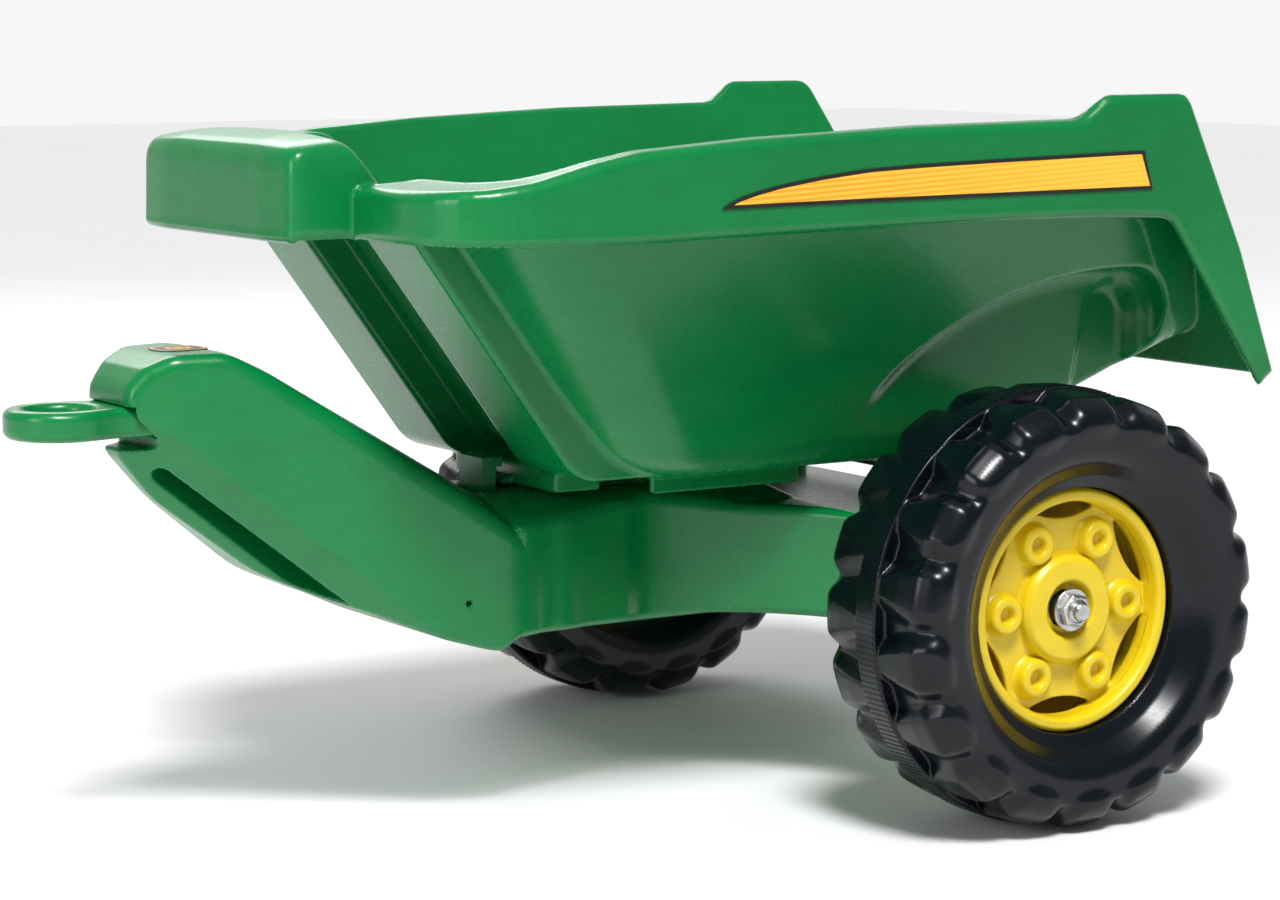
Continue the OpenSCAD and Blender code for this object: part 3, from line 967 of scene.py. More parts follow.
@dataclass
class TrailerTub:
    """The green tipping tub: one moulded sheet with a skirted rim and a hood.

    Sizes are millimetres; x is measured forward of the axle and z from the ground.
    """

    datum: Datum
    wall: float = 4.0
    floor_z: float = 176.0
    front: Point = (276.0, 300.0)
    front_lean: float = 0.74
    side_y: float = 152.0
    side_lean: float = 0.35
    ramp_x: float = -20.0
    ramp_lean: float = 0.41
    column_y: Point = (35.0, 90.0)
    column_depth: float = 24.5
    arch_centre: Point = (-100.0, 60.0)
    arch_radius: float = 216.0
    arch_y: float = 118.0
    arch_end: float = -139.0
    skirt_y: float = 178.6
    rim_front: float = 333.0
    hood_half: float = 88.0
    pivot: Point = (-40.0, 162.0)
    rim_line: tuple[tuple[float, ...], ...] = (
        (340, 329.5), (306, 331.5, 60), (284, 334.5, 60), (252, 342.5, 80), (226, 347.5, 90),
        (160, 352.3, 100), (60, 356.4, 100), (-44, 357.8, 17), (-61, 370, 14), (-116.5, 370, 11),
    )
    tail_line: tuple[tuple[float, ...], ...] = ((-156, 286, 50), (-181, 219, 2))
    under_line: tuple[tuple[float, ...], ...] = (
        (-170, 211, 2), (-137, 258, 60), (-104, 304.6, 14), (-60, 306.5, 20), (11, 307, 60),
        (136, 305, 100), (230, 303, 80), (300, 303.6, 60), (345, 304),
    )

    def sheet(self) -> Solid:
        """The outer form of the tub's body, without its rim."""
        x, z = self.front
        front = plane((x, 0, z), (1, 0, -self.front_lean))
        side = plane((0, self.side_y, z), (0, 1, -self.side_lean))
        floor = plane((0, 0, self.floor_z), (0, 0, -1))
        ramp = plane((self.ramp_x, 0, self.floor_z), (-self.ramp_lean, 0, -1))
        base = floor.within(ramp, 30, 0.92)
        walls = front.within(side, 46, 0.2)
        body = walls.within(base, 32, 0.45)
        near, far = self.column_y
        column = front.moved(dx=self.column_depth).within(base, 26, 0.595)
        column = column.within(slab_y(near, far), 3.5)
        end = plane((self.arch_end, 0, 0), (-1, 0, 0))
        arch = rod_y(self.arch_centre, self.arch_radius).within(end, 26)
        deep = plane((0, self.arch_y, 0), (0, -1, 0))
        pocket = arch.grown(-9).within(plane((-97, 0, 250), (1, 0, 0.22)), 12)
        pocket = pocket.within(plane((0, self.arch_y - 7, 0), (0, -1, 0)), 8)
        arch = arch.within(deep, 12).joined(pocket, 4)
        return body.without(arch, 3).joined(column, 3).both_sides()

    def _rim(self) -> tuple[Solid, Solid]:
        """The rim.

        Returns:
            The rim's outer form with its flared lower lip, and the hollow under it.
        """
        skirt = Outline([*self.rim_line, *self.tail_line, *self.under_line]).along_y()
        open_below = Outline([*self.rim_line, (-181, 219), (-205, 150), (380, 150)]).along_y()
        below = Outline([*self.under_line, (400, 300), (400, 100), (-250, 100), (-250, 212)]).along_y()
        y = self.skirt_y
        plan = Outline(
            [(-260, -y), (self.rim_front, -y, 54), (self.rim_front, y, 54), (-260, y)], 12
        ).along_z()
        rim = skirt.within(self._flared(plan, below), 5.5)
        hollow = open_below.within(plan, 5.5).grown(-self.wall)
        return rim, hollow

    @staticmethod
    def _flared(plan: Solid, below: Solid) -> Solid:
        """Flares a skirt a little towards its lower lip."""
        return Solid(lambda x, y, z: plan(x, y, z) - 1.5 * np.clip(1 - below(x, y, z) / 6.5, 0, 1) ** 2)

    def _hood(self) -> tuple[Solid, Solid]:
        """The hood in the middle of the front rim, and the hollow under it."""
        half = self.hood_half
        side = Outline([
            (296, 304), (370.5, 303), (368.5, 350, 30), (345, 357.4, 60), (322, 356, 16), (298, 330, 6),
        ], 10).along_y()
        plan = Outline([
            (250, -half), (366.5, -half, 11), (370.5, -55, 80), (370.5, 55, 80), (366.5, half, 11),
            (250, half),
        ], 10).along_z()
        end = Outline([
            (-half - 0.5, 250), (half + 0.5, 250), (half - 1.5, 351.5, 20), (45, 358, 60),
            (-45, 358, 60), (-half + 1.5, 351.5, 20),
        ], 10).along_x()
        deep = Outline([
            (280, 250), (371.5, 250), (368.5, 350, 30), (345, 357.4, 60), (298, 350, 12),
        ]).along_y()
        bottom = plane((0, 0, 303.6), (0, 0, 1))
        hood = side.within(self._flared(plan, bottom), 7).within(end, 9)
        back = plane((301.4, 0, 326.9), (-0.735, 0, 0.678))
        hollow = deep.within(plan, 7).within(end, 9).grown(-self.wall - 1.6).within(back, 2)
        return hood, hollow

    def _fittings(self) -> Solid:
        """The ears, rails and foot under the floor."""
        px, pz = self.pivot
        ear = rod_y((px, pz), 9).joined(box((px - 9, -500, pz), (px + 9, 500, self.floor_z + 6)))
        ear = ear.within(slab_y(91, 101), 1.5).without(rod_y((px, pz), 4.2))
        rail = box((70, 82, 167), (162, 86, 181), 1)
        foot = box((172, -52, 166.3), (200, 52, 178), 1.5).without(box((160, -30, 161), (190, 30, 173)), 1)
        ledge = box((199, -10, 166.3), (207, 10, 170.8), 1)
        return ear.joined(rail).both_sides().joined(foot, 2).joined(ledge)

    def solid(self) -> Solid:
        """The whole tub."""
        body = self.sheet()
        rim, rim_hollow = self._rim()
        hood, hood_hollow = self._hood()
        under_rim = Outline([*self.rim_line, (-181, 219), (-205, 150), (420, 150), (420, 329)]).along_y()
        shell = rim.joined(hood, 1.5)
        shell = shell.joined(body.within(under_rim, 2), 1.5)
        hollow = rim_hollow.joined(hood_hollow, 2).without(body, 2)
        tub = shell.without(hollow, 1.5).joined(self._fittings(), 2)
        return tub.without(body.grown(-self.wall), 3.5)

    def build(self, paint: Paintbox) -> None:
        """Casts and dresses the tub."""
        low = (-186.0, -184.0, 148.0)
        high = (376.0, 184.0, 374.0)
        tub = Mould(low, high, 1.9, 190_000, False).cast("tipping_tub", self.solid(), self.datum)
        paint.dress(tub, Finish.GREEN)
        register(tub, "tub", Finish.GREEN, "tub")


@dataclass
class DrawbarChassis:
    """The green gooseneck chassis with its keel slot and head."""

    datum: Datum
    keel_z: float = 88.0
    deck_z: float = 150.0
    crown_z: float = 166.0
    beam_y: float = 148.0
    waist_radius: float = 116.0
    waist_x: float = 156.0
    flank: Triple = (1.04, 1.18, -1.0)
    slot_top: Triple = (404.0, 15.0, 185.3)
    slot_bottom: Triple = (316.0, 31.5, 113.4)
    slot_half: float = 5.0
    slot_deep: float = 17.0
    top_lean: float = 0.602
    eye_z: float = 214.5

    def _profile(self) -> Solid:
        """The side profile."""
        k, d, c = self.keel_z, self.deck_z, self.crown_z
        return Outline([
            (-50, k + 2, 5), (40, k, 60), (238, k, 80), (268, k + 9, 60), (300, k + 23, 60),
            (321, k + 31, 60), (353, k + 45, 90), (404, k + 85, 90), (424, k + 109, 20),
            (427.5, 206, 6), (427.5, 229, 10), (417, 241, 12),
            (404, 247, 20), (374, 247.3, 30), (352, 238, 40), (231, c, 26), (66, c, 8), (44, d, 10),
            (-50, d, 5),
        ], 9).along_y()

    def _plan(self) -> Solid:
        """The plan."""
        beam = Outline([
            (-50, -self.beam_y, 4), (194, -self.beam_y), (194, self.beam_y), (-50, self.beam_y, 4),
        ]).along_z()
        r, wx = self.waist_radius, self.waist_x
        off = 45 + r
        waist = Solid(lambda x, y, z: np.hypot(x - wx, np.abs(y) - off) - r)
        arm = Outline([
            (158, -44), (192, -52, 90), (230, -68, 80), (404, -33.5, 40), (427.5, -24, 8),
            (427.5, 24, 8), (404, 33.5, 40), (230, 68, 80), (192, 52, 90), (158, 44),
        ], 10).along_z()
        return beam.without(waist, 3).joined(arm, 20)

    def _section(self) -> Solid:
        """The section of the beam and deck."""
        k, d, c = self.keel_z, self.deck_z, self.crown_z
        half = [(18, k, 30), (52, k + 7, 20), (200, k + 3), (200, d - 1), (60, d + 4, 14), (30, c, 8)]
        left = [(-y, *rest) for y, *rest in reversed(half)]
        return Outline([*half, *left]).along_x()

    def solid(self) -> Solid:
        """The whole chassis."""
        k = self.keel_z
        form = self._profile().within(self._plan(), 6)
        front = plane((236, 0, 0), (-1, 0, 0))
        form = form.within(self._section().joined(front, 12), 5)
        ridge = plane((371, 9, k + 56), self.flank).both_sides()
        form = form.within(ridge, 5, 0.75)
        above = plane((231, 30, self.crown_z), (self.top_lean, -0.4, -1))
        above = above.within(plane((231, 0, 0), (-1, 0, 0))).both_sides()
        form = form.without(above, 8)
        form = form.joined(self._lugs(), 3)
        return self._pockets(form)

    def _lugs(self) -> Solid:
        """The pivot lugs."""
        lug = rod_y((-40, 162), 9).joined(box((-49, -500, 148), (-31, 500, 162)))
        return lug.within(slab_y(74, 86), 1.5).without(rod_y((-40, 162), 4.2)).both_sides()

    def _pockets(self, form: Solid) -> Solid:
        """Cuts the slots, pockets and holes.

        Args:
            form: The chassis without them.

        Returns:
            The chassis with them.
        """
        top, bottom = np.array(self.slot_top), np.array(self.slot_bottom)
        out = np.array(self.flank) / np.linalg.norm(self.flank)
        span = float(np.linalg.norm(bottom - top))
        way = (bottom - top) / span
        cross = np.cross(out, way)

        def slot(x: Array, y: Array, z: Array) -> Array:
            """A long round-ended slot in each flank of the keel."""
            u, v, w = x - top[0], np.abs(y) - top[1], z - top[2]
            along = u * way[0] + v * way[1] + w * way[2]
            across = u * cross[0] + v * cross[1] + w * cross[2]
            depth = u * out[0] + v * out[1] + w * out[2]
            wide = self.slot_half + 1.4 * np.clip(along / span, 0, 1)
            ring = np.hypot(np.maximum(np.abs(along - span / 2) - span / 2, 0), across) - wide
            return round_max(ring, -depth - self.slot_deep, 3)

        form = form.without(Solid(slot), 2)
        mouth = box((372, -25, self.eye_z - 7.6), (460, 25, self.eye_z + 7.6), 1)
        gusset = box((409, -25, self.eye_z - 14), (440, 25, self.eye_z), 4)
        latch = box((207, -14, 149.5), (227, 14, 210), 1.5)
        vent = rod_y((257, 115.5), 1.7)
        vent = vent.within(plane((0, 40, 0), (0, -1, 0)))
        return form.without(mouth, 1.5).without(gusset, 2).without(latch, 1.5).without(vent, 0.5)

    def build(self, paint: Paintbox) -> None:
        """Casts and dresses the chassis."""
        mould = Mould((-56.0, -152.0, 82.0), (432.0, 152.0, 252.0), 1.8, 150_000)
        piece = mould.cast("gooseneck_chassis", self.solid(), self.datum)
        paint.dress(piece, Finish.GREEN)
        register(piece, "chassis", Finish.GREEN, "chassis")


@dataclass
class TowTongue:
    """The tow eye and its tongue."""

    datum: Datum
    eye: Point = (451.0, 214.5)
    outer: float = 27.5
    hole: float = 17.5
    thick: float = 15.0

    def solid(self) -> Solid:
        """The tongue with its eye."""
        x0, z0 = self.eye
        half = self.thick / 2
        ring = Solid(lambda x, y, z: np.hypot(x - x0, y) - self.outer)
        arm = Outline([
            (373, -24.5), (410, -24.5, 20), (440, -19, 30), (452, -8), (452, 8), (440, 19, 30),
            (410, 24.5, 20), (373, 24.5),
        ]).along_z()
        flat = Solid(lambda x, y, z: np.abs(z - z0) - half)
        hole = Solid(lambda x, y, z: np.hypot(x - x0, y) - self.hole)
        bolt = Solid(lambda x, y, z: np.hypot(x - 387, y) - 4.1)
        return ring.joined(arm, 8).within(flat, 4.5).without(hole, 4.0).without(bolt, 0.5)

    def build(self, paint: Paintbox) -> None:
        """Casts and dresses the tongue."""
        z = self.eye[1]
        mould = Mould((370.0, -30.0, z - 10), (481.0, 30.0, z + 10), 0.9, 60_000)
        piece = mould.cast("tow_eye", self.solid(), self.datum)
        paint.dress(piece, Finish.GREEN)
        register(piece, "chassis", Finish.GREEN, "tow_tongue")


class Side(enum.Enum):
    """A side of the trailer."""

    LEFT = 1
    RIGHT = -1

    @property
    def word(self) -> str:
        """The side's name in the frame."""
        return self.name.lower()


@dataclass
class LuggedTyre:
    """A blow-moulded tyre: knurled centre rib and staggered rounded lugs."""

    datum: Datum
    side: Side
    wheel_y: float = 202.7
    radius: float = 112.5
    half: float = 45.0
    hub_radius: float = 62.7
    lugs: int = 18
    bars: int = 230

    def _carcass(self) -> Outline:
        """Profile of the carcass, (radius, width from the middle)."""
        r, h, b = self.radius, self.half, self.hub_radius
        half = [
            (r - 7.5, h - 15, 13), (r - 14, h - 3, 14), (b + 33, h - 0.2, 18), (b + 17, h - 1.5, 14),
            (b + 7, h - 12, 8), (b + 0.3, h - 16),
        ]
        other = [(p[0], -p[1], *p[2:]) for p in reversed(half)]
        return Outline([*half, *other], 8)

    def solid(self) -> Solid:
        """The tyre about the axle, its middle at y 0 and its outer side at +y."""
        az = self.datum.axle_z / MM
        carcass = self._carcass().around_y((0, az))
        rib = Outline([
            (self.radius - 12, -8), (self.radius, -8, 1.5), (self.radius, 8, 1.5), (self.radius - 12, 8),
        ]).around_y((0, az))
        h, r = self.half, self.radius
        band = Outline([
            (r - 16, 4), (r - 1.2, 4), (r - 1.4, h - 22, 8), (r - 2.8, h - 10, 10), (r - 10, h - 0.3, 11),
            (r - 27, h), (r - 29, h - 6),
        ], 8).around_y((0, az))
        pitch = 2 * math.pi / self.lugs

        def pads(x: Array, y: Array, z: Array) -> Array:
            """The lugs of the outer side, mirrored and staggered to the other."""
            turn = np.arctan2(z - az, x) + np.where(y < 0, pitch / 2, 0)
            turn = np.mod(turn, pitch) - pitch / 2
            reach = np.hypot(x, z - az)
            across = np.abs(turn) * reach
            width = 8.6 + 5.4 * np.clip((np.abs(y) - 8) / 24, 0, 1)
            sides = across - width
            shoulder = (r - 19.5) - reach
            block = round_max(sides, shoulder, 13)
            return round_max(band(x, np.abs(y), z), block, 6)

        body = carcass.joined(Solid(pads), 6).joined(rib, 1.2)
        bore = Solid(lambda x, y, z: self.hub_radius + 0.3 - np.hypot(x, z - az))
        return body.within(bore, 0)

    def _knurl(self, paint: Paintbox, centre: Triple) -> bpy.types.Object:
        """The fine bars across the centre rib."""
        r = self.radius
        mesh = bmesh.new()
        bar = bmesh.ops.create_cube(mesh, size=1.0)["verts"]
        wide = 2 * math.pi * r / self.bars * 0.5
        bmesh.ops.scale(mesh, verts=bar, vec=(1.1 * MM, 14.6 * MM, wide * MM))
        bmesh.ops.translate(mesh, verts=bar, vec=((r - 0.28) * MM, 0, 0))
        top = [v for v in bar if v.co.x > (r - 0.3) * MM]
        bmesh.ops.scale(mesh, verts=top, vec=(1, 0.97, 0.55))
        item = finish_mesh("bar", mesh, smooth=False)
        return CopyRing(self.bars).make("knurl", item, centre, paint.made[Finish.TYRE])

    def build(self, paint: Paintbox) -> None:
        """Casts and dresses the tyre."""
        way, az = self.side.value, self.datum.axle_z / MM
        name = f"tyre_{self.side.word}"
        shape = self.solid()
        centred = Solid(lambda x, y, z: shape(x, (y - way * self.wheel_y) * way, z))
        r, h, y = self.radius + 3, self.half + 3, way * self.wheel_y
        mould = Mould((-r, y - h, az - r), (r, y + h, az + r), 1.5, 150_000)
        tyre = mould.cast("tread", centred, self.datum)
        paint.dress(tyre, Finish.TYRE)
        knurl = self._knurl(paint, (self.datum.axle_x, y * MM, self.datum.axle_z))
        piece = merged(f"lugged_{name}", [tyre, knurl])
        register(piece, f"wheel_{self.side.word}", Finish.TYRE, name)


@dataclass
class DishedHub:
    """A yellow hub half: rim ring, star dish with six windows, centre boss and six stud bosses."""

    datum: Datum
    side: Side
    wheel_y: float = 202.7
    radius: float = 62.7
    ring_in: float = 55.7
    face: float = 26.6
    dish: float = 13.0
    boss_circle: float = 39.2
    bosses: int = 6

    def solid(self) -> Solid:
        """The hub about the axle, its outer side at +y, without the stud bosses."""
        az = self.datum.axle_z / MM
        r, ri, f, d = self.radius, self.ring_in, self.face, self.dish
        profile = Outline([
            (9.4, -6), (9.4, d + 5), (12.2, d + 5, 2), (15.2, d + 11, 2), (25.5, d + 11, 3), (28, d + 8, 2),
            (28.6, d + 3, 2.5), (44, d + 3.2, 10), (ri - 1.5, d + 3, 1), (ri, f - 2, 1), (ri + 1.2, f, 1.6),
            (r - 2, f, 2), (r - 0.2, f - 2.4, 1), (r - 0.2, 2), (r - 3, 2), (r - 3, d, 1), (24, d, 1),
            (20, -6),
        ], 6).around_y((0, az))
        sector = 2 * math.pi / self.bosses

        def window(x: Array, y: Array, z: Array) -> Array:
            """Lens-shaped windows at the foot of the ring, between the stud bosses."""
            turn = np.arctan2(z - az, x)
            turn = np.mod(turn, sector) - sector / 2
            reach = np.hypot(x, z - az)
            u, v = reach * np.cos(turn), reach * np.sin(turn)
            lens = np.hypot(u - (ri + 38), v) - 47.6
            return np.maximum(round_max(lens, reach - ri + 0.8, 1.5), np.abs(y - d - 2) - 4.5)

        return profile.without(Solid(window), 0.8)

    def _studs(self, paint: Paintbox, centre: Triple) -> bpy.types.Object:
        """The ring of stud bosses with their blind holes."""
        d = self.dish
        turned = [
            (0, d + 4.2), (2.6, d + 4.2), (3.7, d + 4.8), (4.1, d + 6), (4.3, d + 8.6), (4.9, d + 9.5),
            (5.9, d + 10), (7.9, d + 10), (9.1, d + 9.5), (9.8, d + 8.3), (10.2, d + 5), (10.8, d + 3.8),
            (12.2, d + 2.9), (12.2, d + 2.5), (0, d + 2.5),
        ]
        item = lathe("stud", turned, (self.boss_circle * MM, 0, 0), 28, self.side.value)
        return CopyRing(self.bosses, 0.0).make("studs", item, centre, paint.made[Finish.YELLOW])

    def build(self, paint: Paintbox) -> None:
        """Casts and dresses the hub."""
        way, az = self.side.value, self.datum.axle_z / MM
        shape = self.solid()
        centred = Solid(lambda x, y, z: shape(x, (y - way * self.wheel_y) * way, z))
        r, y = self.radius + 2, way * (self.wheel_y + 10)
        mould = Mould((-r, y - 19, az - r), (r, y + 19, az + r), 0.95, 110_000)
        dish = mould.cast("dish", centred, self.datum)
        paint.dress(dish, Finish.YELLOW)
        studs = self._studs(paint, (self.datum.axle_x, way * self.wheel_y * MM, self.datum.axle_z))
        piece = merged(f"dished_hub_{self.side.word}", [dish, studs])
        register(piece, f"wheel_{self.side.word}", Finish.YELLOW, f"hub_front_{self.side.word}")


@dataclass
class AxleEnd:
    """The bright axle's ends, its washers and its lock nuts."""

    datum: Datum
    side: Side
    nut_y: float = 227.8
    washer_y: float = 226.3

    def axle(self) -> bpy.types.Object:
        """Makes the whole axle with its stepped and chamfered ends."""
        y0, e = self.nut_y, 236.8
        half = [
            (6.0, y0 + 4.4), (5.5, y0 + 5), (4.9, y0 + 5.2), (4.6, y0 + 5.5), (4.3, y0 + 5.9),
            (4.3, y0 + 6.4), (4.7, y0 + 6.8), (4.7, e - 0.8), (3.9, e), (0, e),
        ]
        turned = [(r, -y) for r, y in reversed(half)] + half
        place = (self.datum.axle_x, 0, self.datum.axle_z)
        return lathe("turned_axle", turned, place, 48)

    def nut(self) -> bpy.types.Object:
        """Makes the six-sided lock nut with its collar."""
        way, y0 = self.side.value, self.nut_y
        mesh = bmesh.new()

        def ring(count: int, reach: float, y: float) -> list[bmesh.types.BMVert]:
            """A ring of points about the axle."""
            loop = []
            for k in range(count):
                a = math.radians(360 / count * k + 12)
                u, w = reach * MM * math.cos(a), reach * MM * math.sin(a)
                loop.append(mesh.verts.new((self.datum.axle_x + u, way * y * MM, self.datum.axle_z + w)))
            return loop

        layers = ((8.2, y0), (9.2, y0 + 0.9), (9.2, y0 + 3.6), (8.0, y0 + 4.4))
        rings = [ring(6, reach, y) for reach, y in layers]
        layers = ((7.0, y0 + 4.5), (6.8, y0 + 5), (6.1, y0 + 5), (6.05, y0))
        collar = [ring(36, reach, y) for reach, y in layers]
        for loops in (rings, collar):
            for lower, upper in zip(loops, loops[1:]):
                for k in range(len(lower)):
                    j = (k + 1) % len(lower)
                    mesh.faces.new((lower[k], lower[j], upper[j], upper[k]))
        for six, round_ in ((rings[-1], collar[0]), (rings[0], collar[-1])):
            for k in range(6):
                arc = [round_[(6 * k + n) % 36] for n in range(7)]
                for n in range(6):
                    corner = six[k] if n < 3 else six[(k + 1) % 6]
                    mesh.faces.new((corner, arc[n], arc[n + 1]))
                mesh.faces.new((six[k], arc[3], six[(k + 1) % 6]))
        return bevelled(finish_mesh(f"lock_nut_{self.side.word}", mesh, smooth=False), 0.25, 25)

    def washer(self) -> bpy.types.Object:
        """Makes the washer under the nut."""
        y = self.washer_y
        turned = [
            (6.1, y), (10.8, y), (11, y + 0.2), (11, y + 1.2), (10.7, y + 1.5), (6.3, y + 1.5),
            (6.1, y + 1.3),
        ]
        place = (self.datum.axle_x, 0, self.datum.axle_z)
        return lathe(f"washer_{self.side.word}", turned, place, 48, self.side.value)


@dataclass
class SideDecal:
    """The striped film on the rim's side, with its black border."""

    datum: Datum
    side: Side
    film_y: float = 179.0
    thick: float = 0.3
    border: float = 1.9
    lower: tuple[Point, ...] = ((-90, 320.5), (90, 319.6), (181.5, 318.6))
    upper: tuple[Point, ...] = (
        (-84, 341), (12, 338.9), (60, 337.6), (93.5, 336.2), (124, 333), (146, 329.8), (160, 327.0),
        (172, 323.8), (179, 320.8), (181.5, 318.9),
    )
    stations: int = 60

    def _edges(self, shrink: float) -> list[tuple[Point, Point]]:
        """Pairs of lower and upper points along the film.

        Args:
            shrink: How far inside the film's edge they lie.

        Returns:
            The pairs, from the square rear end to the pointed front.
        """
        low_u, low_v = zip(*self.lower)
        up_u, up_v = zip(*self.upper)
        tip = self.lower[-1][0]
        while np.interp(tip, up_u, up_v) - np.interp(tip, low_u, low_v) < 2 * shrink + 0.25:
            tip -= 0.25
        pairs = []
        for k in range(self.stations + 1):
            t = (k / self.stations) ** 0.8
            low = self.lower[0][0] + shrink + t * (tip - self.lower[0][0] - shrink)
            high = self.upper[0][0] + shrink + t * (tip - self.upper[0][0] - shrink)
            pairs.append((
                (low, float(np.interp(low, low_u, low_v)) + shrink),
                (high, float(np.interp(high, up_u, up_v)) - shrink),
            ))
        return pairs

    def build(self, paint: Paintbox) -> None:
        """Builds the film as a thin plate with a separate face for its border."""
        way = self.side.value
        mesh = bmesh.new()

        def row(spots: Sequence[Point], lift: float) -> list[bmesh.types.BMVert]:
            """Points of the film at a height over the rim."""
            y = way * (self.film_y + lift) * MM
            return [mesh.verts.new((self.datum.axle_x + u * MM, y, v * MM)) for u, v in spots]

        def band(first: Sequence[Any], second: Sequence[Any], finish: int) -> None:
            """Joins two rows of points."""
            for k in range(len(first) - 1):
                face = mesh.faces.new((first[k], first[k + 1], second[k + 1], second[k]))
                face.material_index = finish

        outer, inner = self._edges(0.0), self._edges(self.border)
        ring_out = [p for p, _ in outer] + [q for _, q in reversed(outer)]
        ring_in = [p for p, _ in inner] + [q for _, q in reversed(inner)]
        base, top, edge = row(ring_out, 0.0), row(ring_out, self.thick), row(ring_in, self.thick)
        band([*base, base[0]], [*top, top[0]], 1)
        band([*top, top[0]], [*edge, edge[0]], 1)
        half = len(inner)
        band(edge[:half], list(reversed(edge[half:])), 0)
        name = f"decal_{self.side.word}"
        piece = finish_mesh(f"striped_{name}", mesh, smooth=False)
        paint.dress(piece, Finish.FILM, Finish.INK)
        register(piece, "tub", Finish.FILM, name)


@dataclass
class HeadBadge:
    """A plain oval film on the head: a yellow border and a small wheel device."""

    datum: Datum
    centre_x: float = 387.0
    top_z: float = 247.3
    long: float = 14.0
    wide: float = 13.0

    def _loop(self, mesh: bmesh.types.BMesh, shrink: float, z: float) -> list[bmesh.types.BMVert]:
        """One rounded loop of the badge."""
        loop = []
        for k in range(40):
            a = 2 * math.pi * k / 40
            c, s = math.cos(a), math.sin(a)
            u = math.copysign(abs(c) ** 0.72, c) * (self.long - shrink)
            v = math.copysign(abs(s) ** 0.72, s) * (self.wide - shrink)
            loop.append(mesh.verts.new((self.datum.axle_x + (self.centre_x + u) * MM, v * MM, z * MM)))
        return loop

    def build(self, paint: Paintbox) -> None:
        """Builds the badge."""
        mesh = bmesh.new()
        z = self.top_z
        levels = [(0, z - 0.4), (0, z + 0.1)]
        levels += [(shrink, z + 0.25) for shrink in (0.9, 2.0, 7.6, 9.4, 11.2)]
        loops = [self._loop(mesh, s, h) for s, h in levels]
        tint = [1, 1, 0, 1, 0, 1]
        for band, (lower, upper) in enumerate(zip(loops, loops[1:])):
            for k in range(40):
                j = (k + 1) % 40
                mesh.faces.new((lower[k], lower[j], upper[j], upper[k])).material_index = tint[band]
        mesh.faces.new(loops[-1]).material_index = 0
        mesh.faces.new(list(reversed(loops[0]))).material_index = 1
        piece = finish_mesh("head_badge", mesh, smooth=False)
        paint.dress(piece, Finish.FILM, Finish.INK)
        register(piece, "chassis", Finish.INK, "badge")


@dataclass
class Hardware:
    """CAD nodes that keep their own shape."""

    finishes: dict[str, Finish] = field(default_factory=lambda: {
        "tongue_bolt": Finish.STEEL, "tongue_nut": Finish.STEEL,
        "spacers": Finish.DARK, "hub_back_left": Finish.YELLOW, "hub_back_right": Finish.YELLOW,
        "bush_left": Finish.DARK, "bush_right": Finish.DARK, "pivot_rod": Finish.STEEL,
        "pivot_caps": Finish.DARK, "latch_lever": Finish.GREEN, "latch_pin": Finish.STEEL,
    })

    def build(self, paint: Paintbox) -> None:
        """Dresses the nodes."""
        for name, finish in self.finishes.items():
            paint.dress_node(name, finish)
            LOG.info("%s keeps its shape in %s", name, finish.value)


# ---------------------------------------------------------------- studio


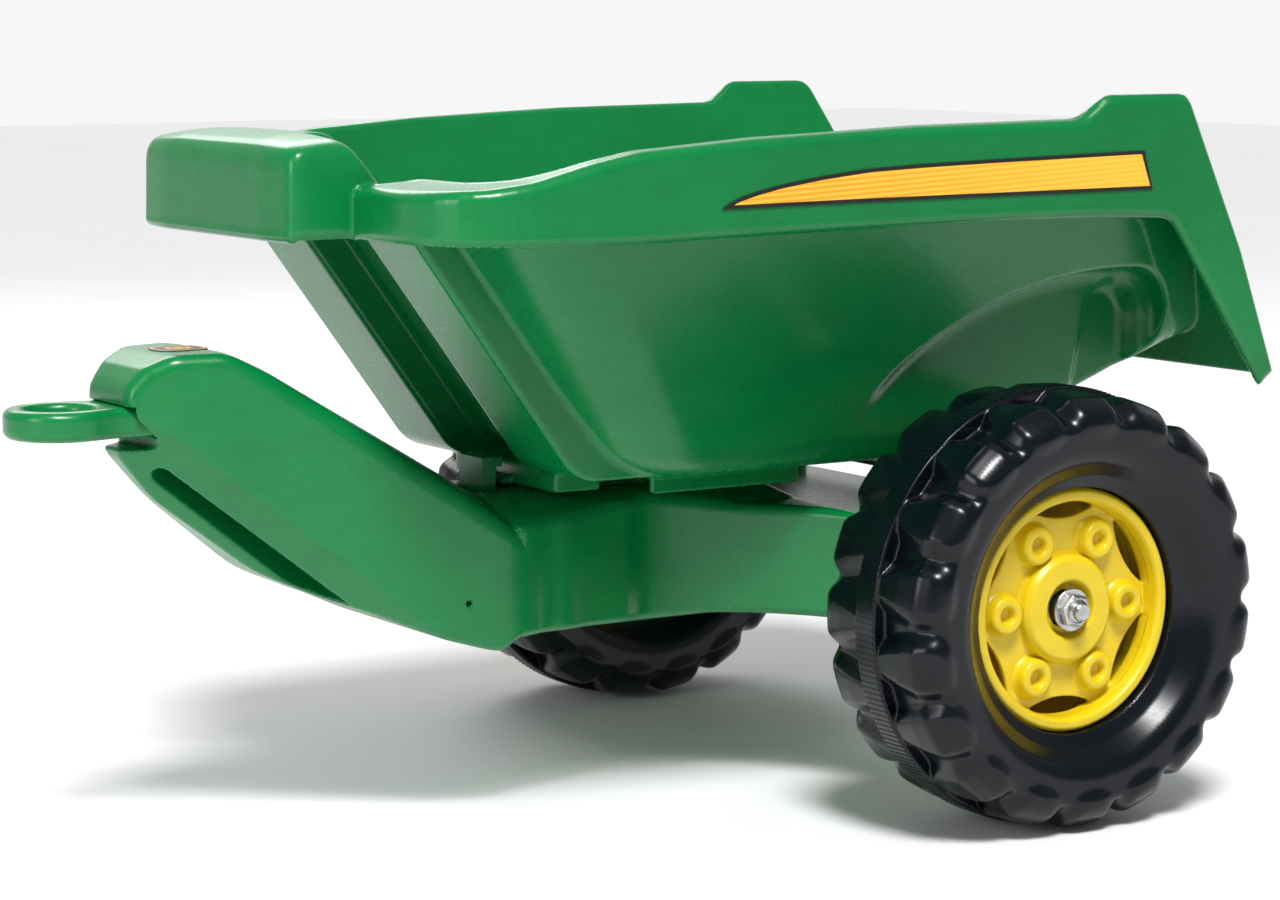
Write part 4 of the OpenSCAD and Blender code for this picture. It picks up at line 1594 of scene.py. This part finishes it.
@dataclass
class Studio:
    """Floor, light and camera."""

    eye: Triple = (0.97381, 1.57957, 0.42069)
    look: Triple = (-0.5335, -0.8360, -0.1288)
    lens: float = 98.18
    floor_half: float = 6.0
    floor_shift: Triple = (-1.0, -3.2, 0.0)

    def floor(self) -> None:
        """A wide pale floor."""
        mesh = bmesh.new()
        bmesh.ops.create_grid(mesh, x_segments=24, y_segments=24, size=self.floor_half)
        bmesh.ops.translate(mesh, verts=mesh.verts, vec=self.floor_shift)
        plate = finish_mesh("floor", mesh)
        shop = Shop("pale floor")
        cloud = shop.noise(400, 2, 0.5)
        colour = shop.mixed(cloud, (0.86, 0.86, 0.86), (0.82, 0.82, 0.83))
        plate.data.materials.append(shop.done(Base_Color=colour, Roughness=0.7 + cloud * 0.1))

    def _lamp(self, name: str, place: Triple, size: Point, power: float, tone: Triple = (1, 1, 1)) -> None:
        """Adds one soft box aimed at the trailer.

        Args:
            name: Name of the lamp.
            place: Where it stands, in metres.
            size: Its width and height.
            power: Its power in watts.
            tone: Its colour.
        """
        data = bpy.data.lights.new(name, "AREA")
        data.shape = "RECTANGLE"
        data.size, data.size_y = size
        data.energy = power
        data.color = tone
        lamp = bpy.data.objects.new(name, data)
        lamp.location = place
        aim = Vector((0.0, 0.0, 0.2)) - Vector(place)
        lamp.rotation_euler = aim.to_track_quat("-Z", "Y").to_euler()
        bpy.context.scene.collection.objects.link(lamp)

    def light(self) -> None:
        """Soft boxes, a sun and a surround."""
        self._lamp("key", (0.5, 1.5, 2.3), (0.9, 0.9), 30)
        self._lamp("front", (2.5, 0.6, 1.0), (0.8, 1.2), 16)
        self._lamp("far", (-0.4, -2.2, 1.9), (1.6, 1.2), 26)
        self._sun()
        self._surround()

    @staticmethod
    def _sun() -> None:
        """Adds a broad sun from over the camera's shoulder."""
        data = bpy.data.lights.new("sun", "SUN")
        data.energy = 2.5
        data.angle = math.radians(14)
        sun = bpy.data.objects.new("sun", data)
        sun.rotation_euler = Vector((-0.5, -1.0, -1.9)).to_track_quat("-Z", "Y").to_euler()
        bpy.context.scene.collection.objects.link(sun)

    def _surround(self) -> None:
        """Makes a surround that is pale behind the trailer and dimmer in front of it."""
        world = bpy.data.worlds.new("surround")
        world.use_nodes = True
        tree = world.node_tree
        sky = tree.nodes["Background"]
        place = tree.nodes.new("ShaderNodeTexCoord")
        toward = tree.nodes.new("ShaderNodeVectorMath")
        toward.operation = "DOT_PRODUCT"
        toward.inputs[1].default_value = self.look
        ramp = tree.nodes.new("ShaderNodeValToRGB")
        Shop.stops(ramp.color_ramp, [
            (0.0, (0.24, 0.24, 0.25, 1)), (0.45, (0.34, 0.34, 0.35, 1)),
            (0.82, (0.90, 0.90, 0.90, 1)), (1.0, (0.93, 0.93, 0.93, 1)),
        ])
        tree.links.new(place.outputs["Generated"], toward.inputs[0])
        tree.links.new(toward.outputs["Value"], ramp.inputs[0])
        tree.links.new(ramp.outputs[0], sky.inputs["Color"])
        sky.inputs["Strength"].default_value = 1.0
        bpy.context.scene.world = world
        bpy.context.scene.view_settings.view_transform = "Standard"

    def camera(self) -> None:
        """The camera, level and without shift."""
        data = bpy.data.cameras.new("camera")
        data.lens = self.lens
        data.sensor_width = 36.0
        camera = bpy.data.objects.new("camera", data)
        camera.location = self.eye
        camera.rotation_euler = Vector(self.look).to_track_quat("-Z", "Y").to_euler()
        bpy.context.scene.collection.objects.link(camera)
        bpy.context.scene.camera = camera

    def build(self) -> None:
        """Sets up the studio."""
        self.camera()
        self.floor()
        self.light()


def axle_hardware(datum: Datum, paint: Paintbox) -> None:
    """Builds the nuts, washers and ends of the axle on both sides.

    Args:
        datum: Where the axle stands.
        paint: The finishes.
    """
    nuts, washers = [], []
    for side in Side:
        end = AxleEnd(datum, side)
        nut = end.nut()
        nut.data = evaluated_mesh(nut)
        nut.modifiers.clear()
        nuts.append(nut)
        washers.append(end.washer())
    for name, parts, node in (("lock_nuts", nuts, "axle_nuts"), ("nut_washers", washers, "washers")):
        piece = merged(name, parts)
        paint.dress(piece, Finish.STEEL)
        register(piece, "chassis", Finish.STEEL, node)
    piece = AxleEnd(datum, Side.LEFT).axle()
    paint.dress(piece, Finish.STEEL)
    register(piece, "chassis", Finish.STEEL, "axle")


def main() -> None:
    """Builds the trailer and the studio round it."""
    logging.basicConfig(level=logging.INFO, format="%(name)s: %(message)s")
    datum = Datum.from_frame()
    Studio().build()
    paint = Paintbox(datum)
    Hardware().build(paint)
    TrailerTub(datum).build(paint)
    DrawbarChassis(datum).build(paint)
    TowTongue(datum).build(paint)
    for side in Side:
        LuggedTyre(datum, side).build(paint)
        DishedHub(datum, side).build(paint)
        SideDecal(datum, side).build(paint)
    axle_hardware(datum, paint)
    HeadBadge(datum).build(paint)


if __name__ == "__main__":
    main()
